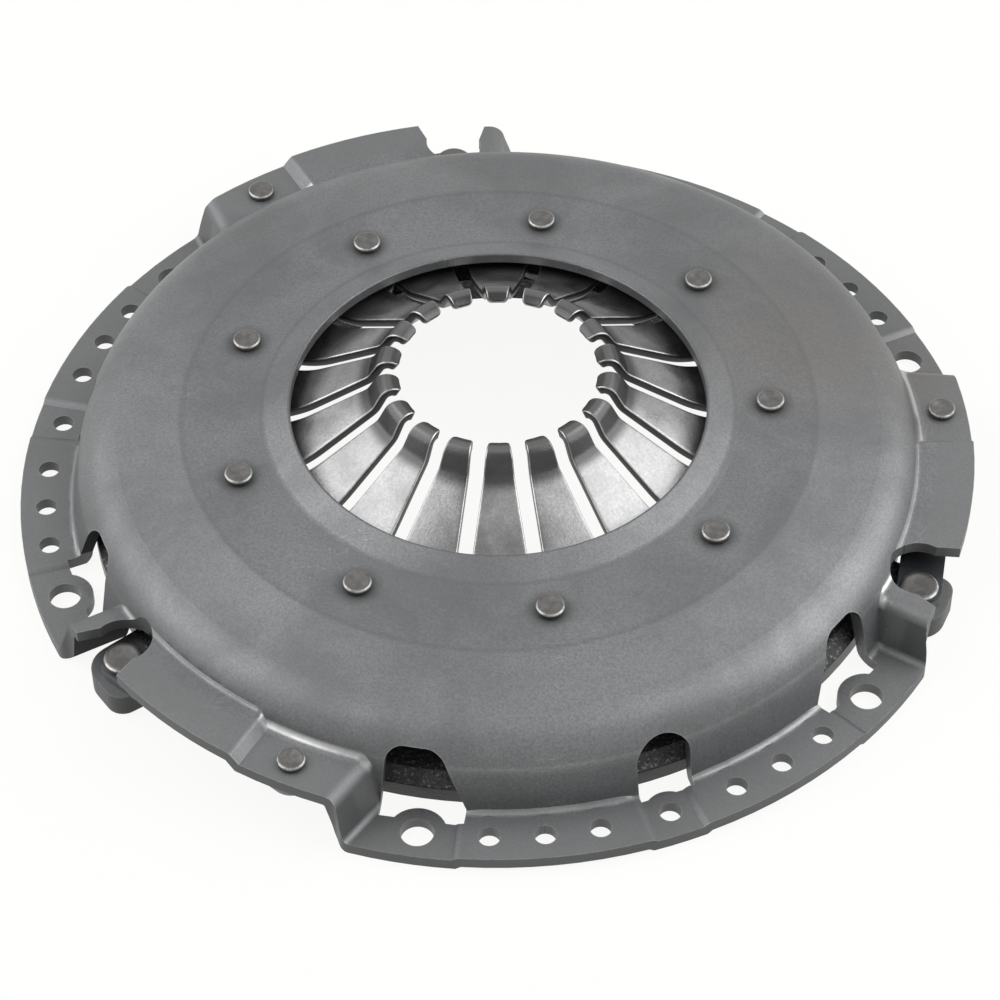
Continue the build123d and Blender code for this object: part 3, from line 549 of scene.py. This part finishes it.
def strap_steel():
    """Blued spring strip, smooth, with bright sheared edges."""
    settings = bpy.context.scene.clutch_finish
    material, hand, shader = new_material("strap_steel")
    colour = tuple(settings.strap_colour)
    grain = place_group(hand, effect("grain"), Grain_Scale=1100.0, Cloud_Scale=70.0)
    up = place_group(hand, effect("place")).outputs["Facing Up"]
    tone = hand.mix(grain.outputs["Cloud"], shade(colour, 0.7), shade(colour, 1.25))
    tone = hand.mix(grain.outputs["Tone"], tone, shade(colour, 0.6), factor_scale=0.25)
    sheared = hand.band(up, -0.5, -0.3, 0.3, 0.5)
    tone = hand.mix(sheared, tone, shade(colour, 2.6), factor_scale=0.6)
    hand.link(tone, shader.inputs["Base Color"])
    shader.inputs["Metallic"].default_value = 0.6
    rough = hand.map_range(grain.outputs["Tone"], 0, 1, 0.34, 0.46, False)
    hand.link(rough, shader.inputs["Roughness"])
    add_bump(hand, shader, grain.outputs["Height"], 0.12, 0.0001)
    return material


def grey_iron():
    """As-cast grey iron with bright specks, turned smooth at the rim and on the friction face."""
    settings = bpy.context.scene.clutch_finish
    material, hand, shader = new_material("grey_iron")
    colour = tuple(settings.iron_colour)
    grain = place_group(hand, effect("grain"), Grain_Scale=650.0, Cloud_Scale=60.0)
    wear = place_group(hand, effect("wear"), Width=0.0010, Break_Up=180.0)
    place = place_group(hand, effect("place"))
    radius, height, up = (place.outputs[name] for name in ("Radius", "Height", "Facing Up"))
    point = hand.object_place()
    pits = hand.node("ShaderNodeTexVoronoi", Scale=620.0, Randomness=1.0)
    hand.link(point, pits.inputs["Vector"])
    pit = hand.map_range(pits.outputs["Distance"], 0.18, 0.42)
    specks = hand.node("ShaderNodeTexNoise", Scale=900.0, Detail=2.0, Roughness=0.7)
    hand.link(point, specks.inputs["Vector"])
    speck = hand.map_range(specks.outputs["Fac"], 0.56, 0.68)
    cast = hand.mix(grain.outputs["Cloud"], shade(colour, 0.5), shade(colour, 1.5))
    cast = hand.mix(grain.outputs["Tone"], cast, shade(colour, 2.6), factor_scale=0.25)
    cast = hand.mix(speck, cast, IRON_SPECK, factor_scale=0.65)
    # the lugs stick out from under the cover into the light and are painted lighter than the rest
    # of the plate, as lit
    lug = hand.map_range(radius, PLATE_R + 0.6 * MM, PLATE_R + 2.5 * MM)
    lit_lug_tone = hand.mix(grain.outputs["Cloud"], LUG_DARK, LUG_LIGHT)
    cast = hand.mix(lug, cast, lit_lug_tone)
    cast = hand.mix(wear.outputs["Mask"], cast, IRON_EDGE, factor_scale=0.4)
    # turned rim: smooth and dark
    rim = hand.band(radius, *(PLATE_R + offset * MM for offset in (-0.6, -0.2, 0.5, 0.9)))
    below_top = hand.map_range(height, TURNED_TOP + 0.3 * MM, TURNED_TOP - 0.1 * MM)
    rim = hand.math("MULTIPLY", rim, below_top)
    cast = hand.mix(rim, cast, shade(colour, 0.75))
    # turning marks: rings on the friction face, which looks straight down
    groove = hand.math("SINE", hand.math("MULTIPLY", radius, 2 * math.pi / TURNING_PITCH))
    turned = hand.mix(hand.map_range(groove, -1, 1, 0, 1, False), TURNED_DARK, TURNED_LIGHT)
    at_bottom = hand.map_range(height, PLATE_LOW_Z + 0.15 * MM, PLATE_LOW_Z + 0.05 * MM)
    face = hand.math("MULTIPLY", hand.map_range(up, -0.9, -0.99), at_bottom)
    hand.link(hand.mix(face, cast, turned), shader.inputs["Base Color"])
    hand.link(hand.map_range(face, 0, 1, 0.1, 0.85, False), shader.inputs["Metallic"])
    smooth = hand.math("MAXIMUM", face, rim)
    hand.link(hand.map_range(smooth, 0, 1, 0.66, 0.34, False), shader.inputs["Roughness"])
    relief = hand.math("ADD", pit, hand.math("MULTIPLY", specks.outputs["Fac"], 2.0))
    even = hand.map_range(hand.math("MAXIMUM", rim, lug), 0, 1, 1, 0.1, False)
    relief = hand.math("MULTIPLY", relief, even)
    add_bump(hand, shader, hand.mix(face, relief, groove), 0.7, 0.0004)
    return material


FINISHES = {
    "phosphated_sheet": phosphated_sheet,
    "spring_steel": spring_steel,
    "rivet_steel": rivet_steel,
    "ring_wire": ring_wire,
    "strap_steel": strap_steel,
    "grey_iron": grey_iron,
}
MADE_FINISHES = {}


def finish_of(name):
    """Finish by name, made on its first use."""
    if name not in MADE_FINISHES:
        MADE_FINISHES[name] = FINISHES[name]()
    return MADE_FINISHES[name]


def dress(piece, name):
    """Put a finish on a piece in place of what it came with."""
    piece.data.materials.clear()
    piece.data.materials.append(finish_of(name))
    return piece


# ---------------------------------------------------------------------- shapes
def link_piece(name, data):
    """New object of a mesh, lamp or camera in the scene."""
    piece = bpy.data.objects.new(name, data)
    bpy.context.scene.collection.objects.link(piece)
    return piece


def around_axis(radius, turn, height=0.0):
    """Point at a radius and bearing from the clutch axis, the bearing in radians."""
    return Vector((radius * math.cos(turn), radius * math.sin(turn), height))


def stand_in_for(node, name, mesh, finish):
    """New piece shown in place of a node, with its finish."""
    piece = link_piece(name, mesh)
    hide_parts(node)
    dress(piece, finish)
    return piece


def finish_mesh(form, name, sharp_degrees=35):
    """Mesh from a bmesh, smooth except across its sharp edges."""
    bmesh.ops.recalc_face_normals(form, faces=form.faces)
    mesh = bpy.data.meshes.new(name)
    form.to_mesh(mesh)
    form.free()
    mesh.shade_smooth()
    mesh.set_sharp_from_angle(angle=math.radians(sharp_degrees))
    return mesh


def lathed_mesh(name, profile, segments=40):
    """Closed solid turned about Z from (radius, height) pairs in millimetres, top to bottom."""
    form = bmesh.new()
    loops = []
    for radius, height in profile:
        if radius == 0:
            loops.append([form.verts.new((0, 0, height * MM))])
            continue
        turns = [2 * math.pi * step / segments for step in range(segments)]
        loops.append([
            form.verts.new(around_axis(radius * MM, turn, height * MM)) for turn in turns
        ])
    for upper, lower in zip(loops, loops[1:]):
        for step in range(segments):
            after = (step + 1) % segments
            if len(upper) == 1:
                form.faces.new((upper[0], lower[step], lower[after]))
            elif len(lower) == 1:
                form.faces.new((upper[step], lower[0], upper[after]))
            else:
                form.faces.new((upper[step], lower[step], lower[after], upper[after]))
    return finish_mesh(form, name)


def upset_head(radius, top, seat):
    """Profile of an upset rivet head: dished top, rounded rim and slightly barrelled side."""
    rise = top - seat
    dish = ((0, 0.34), (0.28, 0.32), (0.52, 0.22), (0.68, 0.08))
    rim = ((0.78, 0), (0.87, 0.05), (0.94, 0.2), (0.985, 0.45))
    side = ((1, 0.5), (0.99, 0.25), (0.965, 0))
    profile = [(radius * share, top - fall) for share, fall in dish + rim]
    return profile + [(radius * share, seat + rise * part) for share, part in side]


def rounded_path(corners, bends, arc_step=0.7):
    """(radius, height) points of a polyline with rounded corners, each with its unit direction."""
    points = [Vector(corner) for corner in corners]
    path = [(points[0], (points[1] - points[0]).normalized())]
    for before, corner, after, bend in zip(points, points[1:], points[2:], bends):
        arriving = (corner - before).normalized()
        leaving = (after - corner).normalized()
        turn = arriving.angle_signed(leaving)
        reach = bend * math.tan(abs(turn) / 2)
        steps = max(4, round(bend * abs(turn) / arc_step))
        side = 1 if arriving.x * leaving.y - arriving.y * leaving.x > 0 else -1
        centre = corner - arriving * reach + Vector((-arriving.y, arriving.x)) * bend * side
        for step in range(steps + 1):
            angle = abs(turn) * step / steps * side
            direction = Matrix.Rotation(angle, 2) @ arriving
            outwards = Vector((direction.y, -direction.x)) * side
            path.append((centre + outwards * bend, direction))
    path.append((points[-1], (points[-1] - points[-2]).normalized()))
    return path


def spread_stations(path, extra):
    """Stations of a path, with more on long straight stretches and at the radii in extra."""
    stations = []
    for (start, direction), (end, _) in zip(path, path[1:]):
        stations.append((start, direction))
        span = (end - start).length
        if span < LONGEST_STEP:
            continue
        parts = math.ceil(span / LONGEST_STEP)
        shares = [step / parts for step in range(1, parts)]
        if abs(end.x - start.x) > 1:
            shares += [(radius - start.x) / (end.x - start.x) for radius in extra]
        for share in sorted({round(share, 5) for share in shares if 0.0005 < share < 0.9995}):
            stations.append((start.lerp(end, share), direction))
    stations.append(path[-1])
    return stations


def held_share(value, low, high):
    """Share of the way from low to high, held between 0 and 1."""
    return min(max((value - low) / (high - low), 0), 1)


def slot_half_width(radius):
    """Half of the gap between two fingers at a radius: a slot that ends in a round keyhole."""
    offset = abs(radius - KEYHOLE_AT)
    hole = math.sqrt(max(KEYHOLE_R ** 2 - offset ** 2, 0))
    return hole if radius > KEYHOLE_AT else max(hole, SLOT_HALF)


def half_angle(radius, inset):
    """Half of the angle that a finger fills at a radius, less an inset from its side."""
    slot = math.asin(min(slot_half_width(radius) / radius, 1))
    return max(math.pi / FINGER_COUNT - slot - inset / radius, 0.0)


def rounding(distance, radius):
    """How far a quarter-round corner has fallen, at a distance from the edge."""
    if distance >= radius:
        return 0.0
    return radius - math.sqrt(radius ** 2 - (radius - distance) ** 2)


def spring_section(point, direction, from_tip):
    """One cross-section of a finger or of the outer ring, all round it.

    Each point is (radius, height, angle from the finger's middle, on a rounded edge).
    """
    below = Vector((-direction.y, direction.x))
    upright = Vector((0, -1 / max(-below.y, 0.1)))
    wall_start, wall_full, wall_fade, wall_end = UPRIGHT_WALLS
    share = held_share(point.x, wall_start, wall_full) * held_share(point.x, wall_end, wall_fade)
    below = below.lerp(upright, share)
    # the rounding fades out where a keyhole closes
    corner = EDGE_ROUND * min(slot_half_width(point.x) / ROUND_FROM, 1)
    thin = rounding(from_tip, EDGE_ROUND)
    narrow = rounding(from_tip, TIP_CORNER)

    def face(place, radius, steps):
        half = half_angle(radius, corner + narrow)
        return [(place.x, place.y, half * step, False) for step in steps]

    def edge(depth, inset, side):
        place = point + below * min(max(depth, thin), SPRING_THICKNESS - thin)
        return place.x, place.y, side * half_angle(place.x, inset + narrow), inset > 0

    arc = []
    for turn in (math.radians(degrees) for degrees in (30, 60, 90)):
        arc.append((corner * (1 - math.cos(turn)), corner * round(1 - math.sin(turn), 6)))
    low = point + below * (SPRING_THICKNESS - thin)
    return [
        *face(point + below * thin, point.x, FACE_STEPS),
        *(edge(depth, inset, 1) for depth, inset in arc),
        *(edge(SPRING_THICKNESS - depth, inset, 1) for depth, inset in reversed(arc)),
        *face(low, low.x, FACE_STEPS[::-1]),
        *(edge(SPRING_THICKNESS - depth, inset, -1) for depth, inset in arc),
        *(edge(depth, inset, -1) for depth, inset in reversed(arc)),
    ]


def spring_stations():
    """Places of the spring's cross-sections from rim to tip, close together at holes and bends."""
    hole_start = KEYHOLE_AT - math.sqrt(KEYHOLE_R ** 2 - SLOT_HALF ** 2)
    around_hole = [
        KEYHOLE_AT - KEYHOLE_R * math.cos(math.pi * step / KEYHOLE_STEPS)
        for step in range(KEYHOLE_STEPS + 1)
    ]
    extra = [hole_start, *(radius for radius in around_hole if radius > hole_start)]
    stations = spread_stations(rounded_path(SPRING_PATH, SPRING_BENDS), extra)
    end, direction = stations.pop()
    return stations + [(end - direction * back, direction) for back in TIP_STEPS]


def spring_mesh():
    """Diaphragm spring: eighteen fingers with rounded edges on a slotted cone."""
    stations = spring_stations()
    end = stations[-1][0]
    sections = [spring_section(place, way, (place - end).length) for place, way in stations]
    form = bmesh.new()
    edge_shine_layer = form.verts.layers.float.new(EDGE_MASK)
    count, across = len(sections[0]), len(FACE_STEPS)
    half = count // 2
    faces_only = (*range(across - 1), *range(half, half + across - 1))
    for finger in range(FINGER_COUNT):
        middle = (finger + 0.5) * 2 * math.pi / FINGER_COUNT
        rows = []
        for section in sections:
            row = []
            for radius, height, aside, edge_rub_and_shine in section:
                vertex = form.verts.new(around_axis(radius * MM, middle + aside, height * MM))
                vertex[edge_shine_layer] = float(edge_rub_and_shine)
                row.append(vertex)
            rows.append(row)
        for (place, _), row, after in zip(stations[1:], rows, rows[1:]):
            # outside the keyholes the fingers join into one ring, with no sides between them
            in_ring = place.x > KEYHOLE_AT + KEYHOLE_R - 1e-4
            for step in faces_only if in_ring else range(count):
                following = (step + 1) % count
                form.faces.new((row[step], row[following], after[following], after[step]))
        form.faces.new(rows[-1])
        # outer rim
        top_row, low_row = rows[0][:across], rows[0][half:half + across][::-1]
        for step in range(across - 1):
            form.faces.new((top_row[step], top_row[step + 1], low_row[step + 1], low_row[step]))
    bmesh.ops.remove_doubles(form, verts=form.verts, dist=WELD)
    bmesh.ops.dissolve_degenerate(form, edges=form.edges, dist=WELD)
    return finish_mesh(form, "spring_with_fingers")


def leaf_mesh(node, start, end):
    """The node's own shape with cross-cuts between its ends, so that it can bend."""
    form = bmesh.new()
    form.from_mesh(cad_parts[node].data)
    bmesh.ops.remove_doubles(form, verts=form.verts, dist=WELD)
    way = (end - start).normalized()
    for step in range(LEAF_CUTS + 1):
        bmesh.ops.bisect_plane(
            form, geom=[*form.verts, *form.edges, *form.faces], dist=WELD,
            plane_co=start.lerp(end, step / LEAF_CUTS), plane_no=way,
        )
    return finish_mesh(form, node)


def rivet_place(values, number, height=0.0):
    """Centre of one rivet of a ring of like rivets, counted from 0."""
    bearing = values["bearing"] + number * 360 / values["count"]
    return around_axis(values["circle"] * MM, math.radians(bearing), height)


# ------------------------------------------------------------------- operators
class ClutchFinishSettings(bpy.types.PropertyGroup):
    """Colours and amounts of the part's finishes"""

    sheet_colour: bpy.props.FloatVectorProperty(
        name="Sheet colour", description="Phosphated skin of the cover's dome",
        subtype="COLOR", size=3, min=0, max=1, default=(0.162, 0.165, 0.170),
    )
    flange_colour: bpy.props.FloatVectorProperty(
        name="Flange colour", description="Skin of the bolting flange and the strap ears",
        subtype="COLOR", size=3, min=0, max=1, default=(0.146, 0.149, 0.151),
    )
    spring_colour: bpy.props.FloatVectorProperty(
        name="Spring colour", description="Diaphragm spring and its fingers",
        subtype="COLOR", size=3, min=0, max=1, default=(0.24, 0.24, 0.243),
    )
    rivet_colour: bpy.props.FloatVectorProperty(
        name="Rivet colour", description="Heads and shanks of every rivet",
        subtype="COLOR", size=3, min=0, max=1, default=(0.135, 0.132, 0.128),
    )
    strap_colour: bpy.props.FloatVectorProperty(
        name="Strap colour", description="Blued leaves of the drive straps",
        subtype="COLOR", size=3, min=0, max=1, default=(0.10, 0.105, 0.115),
    )
    iron_colour: bpy.props.FloatVectorProperty(
        name="Iron colour", description="As-cast skin of the pressure plate",
        subtype="COLOR", size=3, min=0, max=1, default=(0.045, 0.045, 0.047),
    )
    scuff_amount: bpy.props.FloatProperty(
        name="Scuffs", description="How strongly handling scuffs show on the sheet",
        subtype="FACTOR", min=0, max=1, default=0.6,
    )


class ClutchStageSettings(bpy.types.PropertyGroup):
    """Camera and lamps"""

    lens: bpy.props.FloatProperty(
        name="Lens", description="Focal length on a 36 mm sensor, in millimetres",
        min=20, max=300, default=119.72,
    )
    camera_place: bpy.props.FloatVectorProperty(
        name="Camera place", description="Where the camera stands",
        subtype="TRANSLATION", unit="LENGTH", size=3, default=(0.00017, -0.65419, 0.71058),
    )
    camera_elevation: bpy.props.FloatProperty(
        name="Elevation", description="How far the camera looks down",
        subtype="ANGLE", default=math.radians(47.65),
    )
    camera_roll: bpy.props.FloatProperty(
        name="Roll", description="Turn of the camera about its view",
        subtype="ANGLE", default=math.radians(-0.59),
    )
    lamp_power: bpy.props.FloatProperty(
        name="Lamp power", description="Power of the left lamp; the others follow it",
        subtype="POWER", unit="POWER", min=0, max=100, default=10.5,
    )
    sky_level: bpy.props.FloatProperty(
        name="Sky level", description="Strength of the even light from all round",
        min=0, max=2, default=0.26,
    )


class CLUTCH_OT_cover(bpy.types.Operator):
    """Finish the pressed cover"""

    bl_idname = "clutch.cover"
    bl_label = "Cover"

    def execute(self, context):
        dress(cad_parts["cover"], "phosphated_sheet")
        return {"FINISHED"}


class CLUTCH_OT_diaphragm_spring(bpy.types.Operator):
    """Make the diaphragm spring"""

    bl_idname = "clutch.diaphragm_spring"
    bl_label = "Diaphragm spring"

    def execute(self, context):
        name, mesh = "spring_with_fingers", spring_mesh()
        piece = stand_in_for("diaphragm_spring", name, mesh, "spring_steel")
        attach(piece, COVER_BODY)
        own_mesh(piece)
        return {"FINISHED"}


class CLUTCH_OT_fulcrum_rings(bpy.types.Operator):
    """Finish the two wire rings that the spring rocks on"""

    bl_idname = "clutch.fulcrum_rings"
    bl_label = "Fulcrum rings"

    def execute(self, context):
        for node in ("upper_fulcrum_ring", "lower_fulcrum_ring"):
            dress(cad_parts[node], "ring_wire")
        return {"FINISHED"}


class CLUTCH_OT_rivets(bpy.types.Operator):
    """Make the spacer, strap and lug rivets, each with an upset head"""

    bl_idname = "clutch.rivets"
    bl_label = "Rivets"

    def execute(self, context):
        for name, values in RIVETS.items():
            mesh = lathed_mesh(name, upset_head(*values["head"]) + list(values["stem"]))
            for number in range(values["count"]):
                node = f"{name}_{number + 1}"
                piece = stand_in_for(node, f"upset_{node}", mesh, "rivet_steel")
                piece.location = rivet_place(values, number)
                piece.rotation_euler.z = RIVET_TURN * number
                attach(piece, values["body"])
        return {"FINISHED"}


class CLUTCH_OT_drive_straps(bpy.types.Operator):
    """Make the drive strap leaves between the lugs and the cover"""

    bl_idname = "clutch.drive_straps"
    bl_label = "Drive straps"

    def execute(self, context):
        for strap in range(STRAP_COUNT):
            on_lug = rivet_place(RIVETS["lug_rivet"], strap, LEAF_Z)
            on_pad = rivet_place(RIVETS["cover_strap_rivet"], strap, LEAF_Z)
            way = (on_pad - on_lug).normalized()
            start, end = on_lug + way * STRAP_FLAT, on_pad - way * STRAP_FLAT
            for leaf in range(LEAF_COUNT):
                node = f"drive_strap_{strap + 1}_leaf_{leaf + 1}"
                mesh = leaf_mesh(node, start, end)
                piece = stand_in_for(node, f"bending_{node}", mesh, "strap_steel")
                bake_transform(piece)
        return {"FINISHED"}


class CLUTCH_OT_pressure_plate(bpy.types.Operator):
    """Finish the cast pressure plate"""

    bl_idname = "clutch.pressure_plate"
    bl_label = "Pressure plate"

    def execute(self, context):
        dress(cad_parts["pressure_plate"], "grey_iron")
        return {"FINISHED"}


def seen_plainly(hand):
    """1 where the camera, a reflection or glass sees the stage, 0 where it lights the part."""
    path = hand.node("ShaderNodeLightPath")
    direct = hand.math("MAXIMUM", path.outputs["Is Camera Ray"], path.outputs["Is Glossy Ray"])
    return hand.math("MAXIMUM", direct, path.outputs["Is Transmission Ray"])


def stage_floor():
    """Plain pale floor that keeps a soft shadow."""
    mesh = bpy.data.meshes.new("floor")
    square = ((-1, -1), (1, -1), (1, 1), (-1, 1))
    corners = [(x * FLOOR_HALF, y * FLOOR_HALF, 0) for x, y in square]
    mesh.from_pydata(corners, [], [(0, 1, 2, 3)])
    floor = link_piece("floor", mesh)
    floor.location.z = COVER_LOW_Z
    material = bpy.data.materials.new("pale_floor")
    material.use_nodes = True
    hand = NodeTree(material.node_tree)
    material.node_tree.nodes.clear()
    output = hand.node("ShaderNodeOutputMaterial")
    seen = seen_plainly(hand)
    matte = hand.node("ShaderNodeBsdfDiffuse")
    hand.link(hand.mix(seen, FLOOR_LIT, FLOOR_SEEN), matte.inputs["Color"])
    glow = hand.node("ShaderNodeEmission", Color=WHITE, Strength=1.0)
    blend = hand.node("ShaderNodeMixShader")
    hand.link(hand.math("MULTIPLY", seen, FLOOR_GLOW), blend.inputs[0])
    hand.link(matte.outputs[0], blend.inputs[1])
    hand.link(glow.outputs[0], blend.inputs[2])
    hand.link(blend.outputs[0], output.inputs["Surface"])
    mesh.materials.append(material)


def stage_world(level):
    """Soft light from above, fading towards the horizon, and white where it is seen."""
    world = bpy.data.worlds.new("studio")
    bpy.context.scene.world = world
    world.use_nodes = True
    hand = NodeTree(world.node_tree)
    world.node_tree.nodes.clear()
    output = hand.node("ShaderNodeOutputWorld")
    split = hand.node("ShaderNodeSeparateXYZ")
    hand.link(hand.node("ShaderNodeTexCoord").outputs["Generated"], split.inputs[0])
    soft = hand.node("ShaderNodeBackground", Color=(1, 1, 1, 1))
    rising = hand.map_range(split.outputs["Z"], 0.0, SKY_FULL_AT, SKY_LOW_SHARE * level, level)
    hand.link(rising, soft.inputs["Strength"])
    white = hand.node("ShaderNodeBackground", Color=WHITE, Strength=1.0)
    blend = hand.node("ShaderNodeMixShader")
    hand.link(seen_plainly(hand), blend.inputs[0])
    hand.link(soft.outputs[0], blend.inputs[1])
    hand.link(white.outputs[0], blend.inputs[2])
    hand.link(blend.outputs[0], output.inputs["Surface"])


def stage_lamp(name, place, power, size):
    """Square lamp that looks at the middle of the part."""
    data = bpy.data.lights.new(name, "AREA")
    data.shape = "SQUARE"
    data.size = size
    data.energy = power
    lamp = link_piece(name, data)
    lamp.location = place
    lamp.rotation_euler = (-Vector(place)).to_track_quat("-Z", "Y").to_euler()


def stage_camera(settings):
    """Camera at the stated place, elevation and roll."""
    data = bpy.data.cameras.new("camera")
    data.sensor_width = SENSOR_WIDTH
    data.lens = settings.lens
    camera = link_piece("camera", data)
    tilt = Matrix.Rotation(math.pi / 2 - settings.camera_elevation, 4, "X")
    roll = Matrix.Rotation(settings.camera_roll, 4, "Z")
    camera.matrix_world = Matrix.Translation(settings.camera_place) @ tilt @ roll
    bpy.context.scene.camera = camera


class CLUTCH_OT_stage(bpy.types.Operator):
    """Set up the floor, the lamps, the world and the camera"""

    bl_idname = "clutch.stage"
    bl_label = "Stage"

    def execute(self, context):
        settings = context.scene.clutch_stage
        stage_floor()
        stage_world(settings.sky_level)
        for name, place, share, size in STAGE_LAMPS:
            stage_lamp(name, place, settings.lamp_power * share, size)
        stage_camera(settings)
        context.scene.view_settings.view_transform = "Standard"
        return {"FINISHED"}


OPERATORS = (
    CLUTCH_OT_stage,
    CLUTCH_OT_cover,
    CLUTCH_OT_diaphragm_spring,
    CLUTCH_OT_fulcrum_rings,
    CLUTCH_OT_rivets,
    CLUTCH_OT_drive_straps,
    CLUTCH_OT_pressure_plate,
)


class CLUTCH_PT_panel(bpy.types.Panel):
    """Sidebar panel with the settings and one button per piece"""

    bl_idname = "CLUTCH_PT_panel"
    bl_label = "Clutch cover"
    bl_space_type = "VIEW_3D"
    bl_region_type = "UI"
    bl_category = "Clutch"

    def draw(self, context):
        layout = self.layout
        for settings in (context.scene.clutch_finish, context.scene.clutch_stage):
            box = layout.box()
            for name in settings.__annotations__:
                box.prop(settings, name)
        for operator in OPERATORS:
            layout.operator(operator.bl_idname)


CLASSES = (ClutchFinishSettings, ClutchStageSettings, *OPERATORS, CLUTCH_PT_panel)


def register():
    for cls in CLASSES:
        bpy.utils.register_class(cls)
    bpy.types.Scene.clutch_finish = bpy.props.PointerProperty(type=ClutchFinishSettings)
    bpy.types.Scene.clutch_stage = bpy.props.PointerProperty(type=ClutchStageSettings)


def unregister():
    del bpy.types.Scene.clutch_stage
    del bpy.types.Scene.clutch_finish
    for cls in reversed(CLASSES):
        bpy.utils.unregister_class(cls)


def main():
    """Make every piece in order."""
    register()
    bpy.ops.clutch.stage()
    bpy.ops.clutch.cover()
    bpy.ops.clutch.diaphragm_spring()
    bpy.ops.clutch.fulcrum_rings()
    bpy.ops.clutch.rivets()
    bpy.ops.clutch.drive_straps()
    bpy.ops.clutch.pressure_plate()


if __name__ == "__main__":
    main()
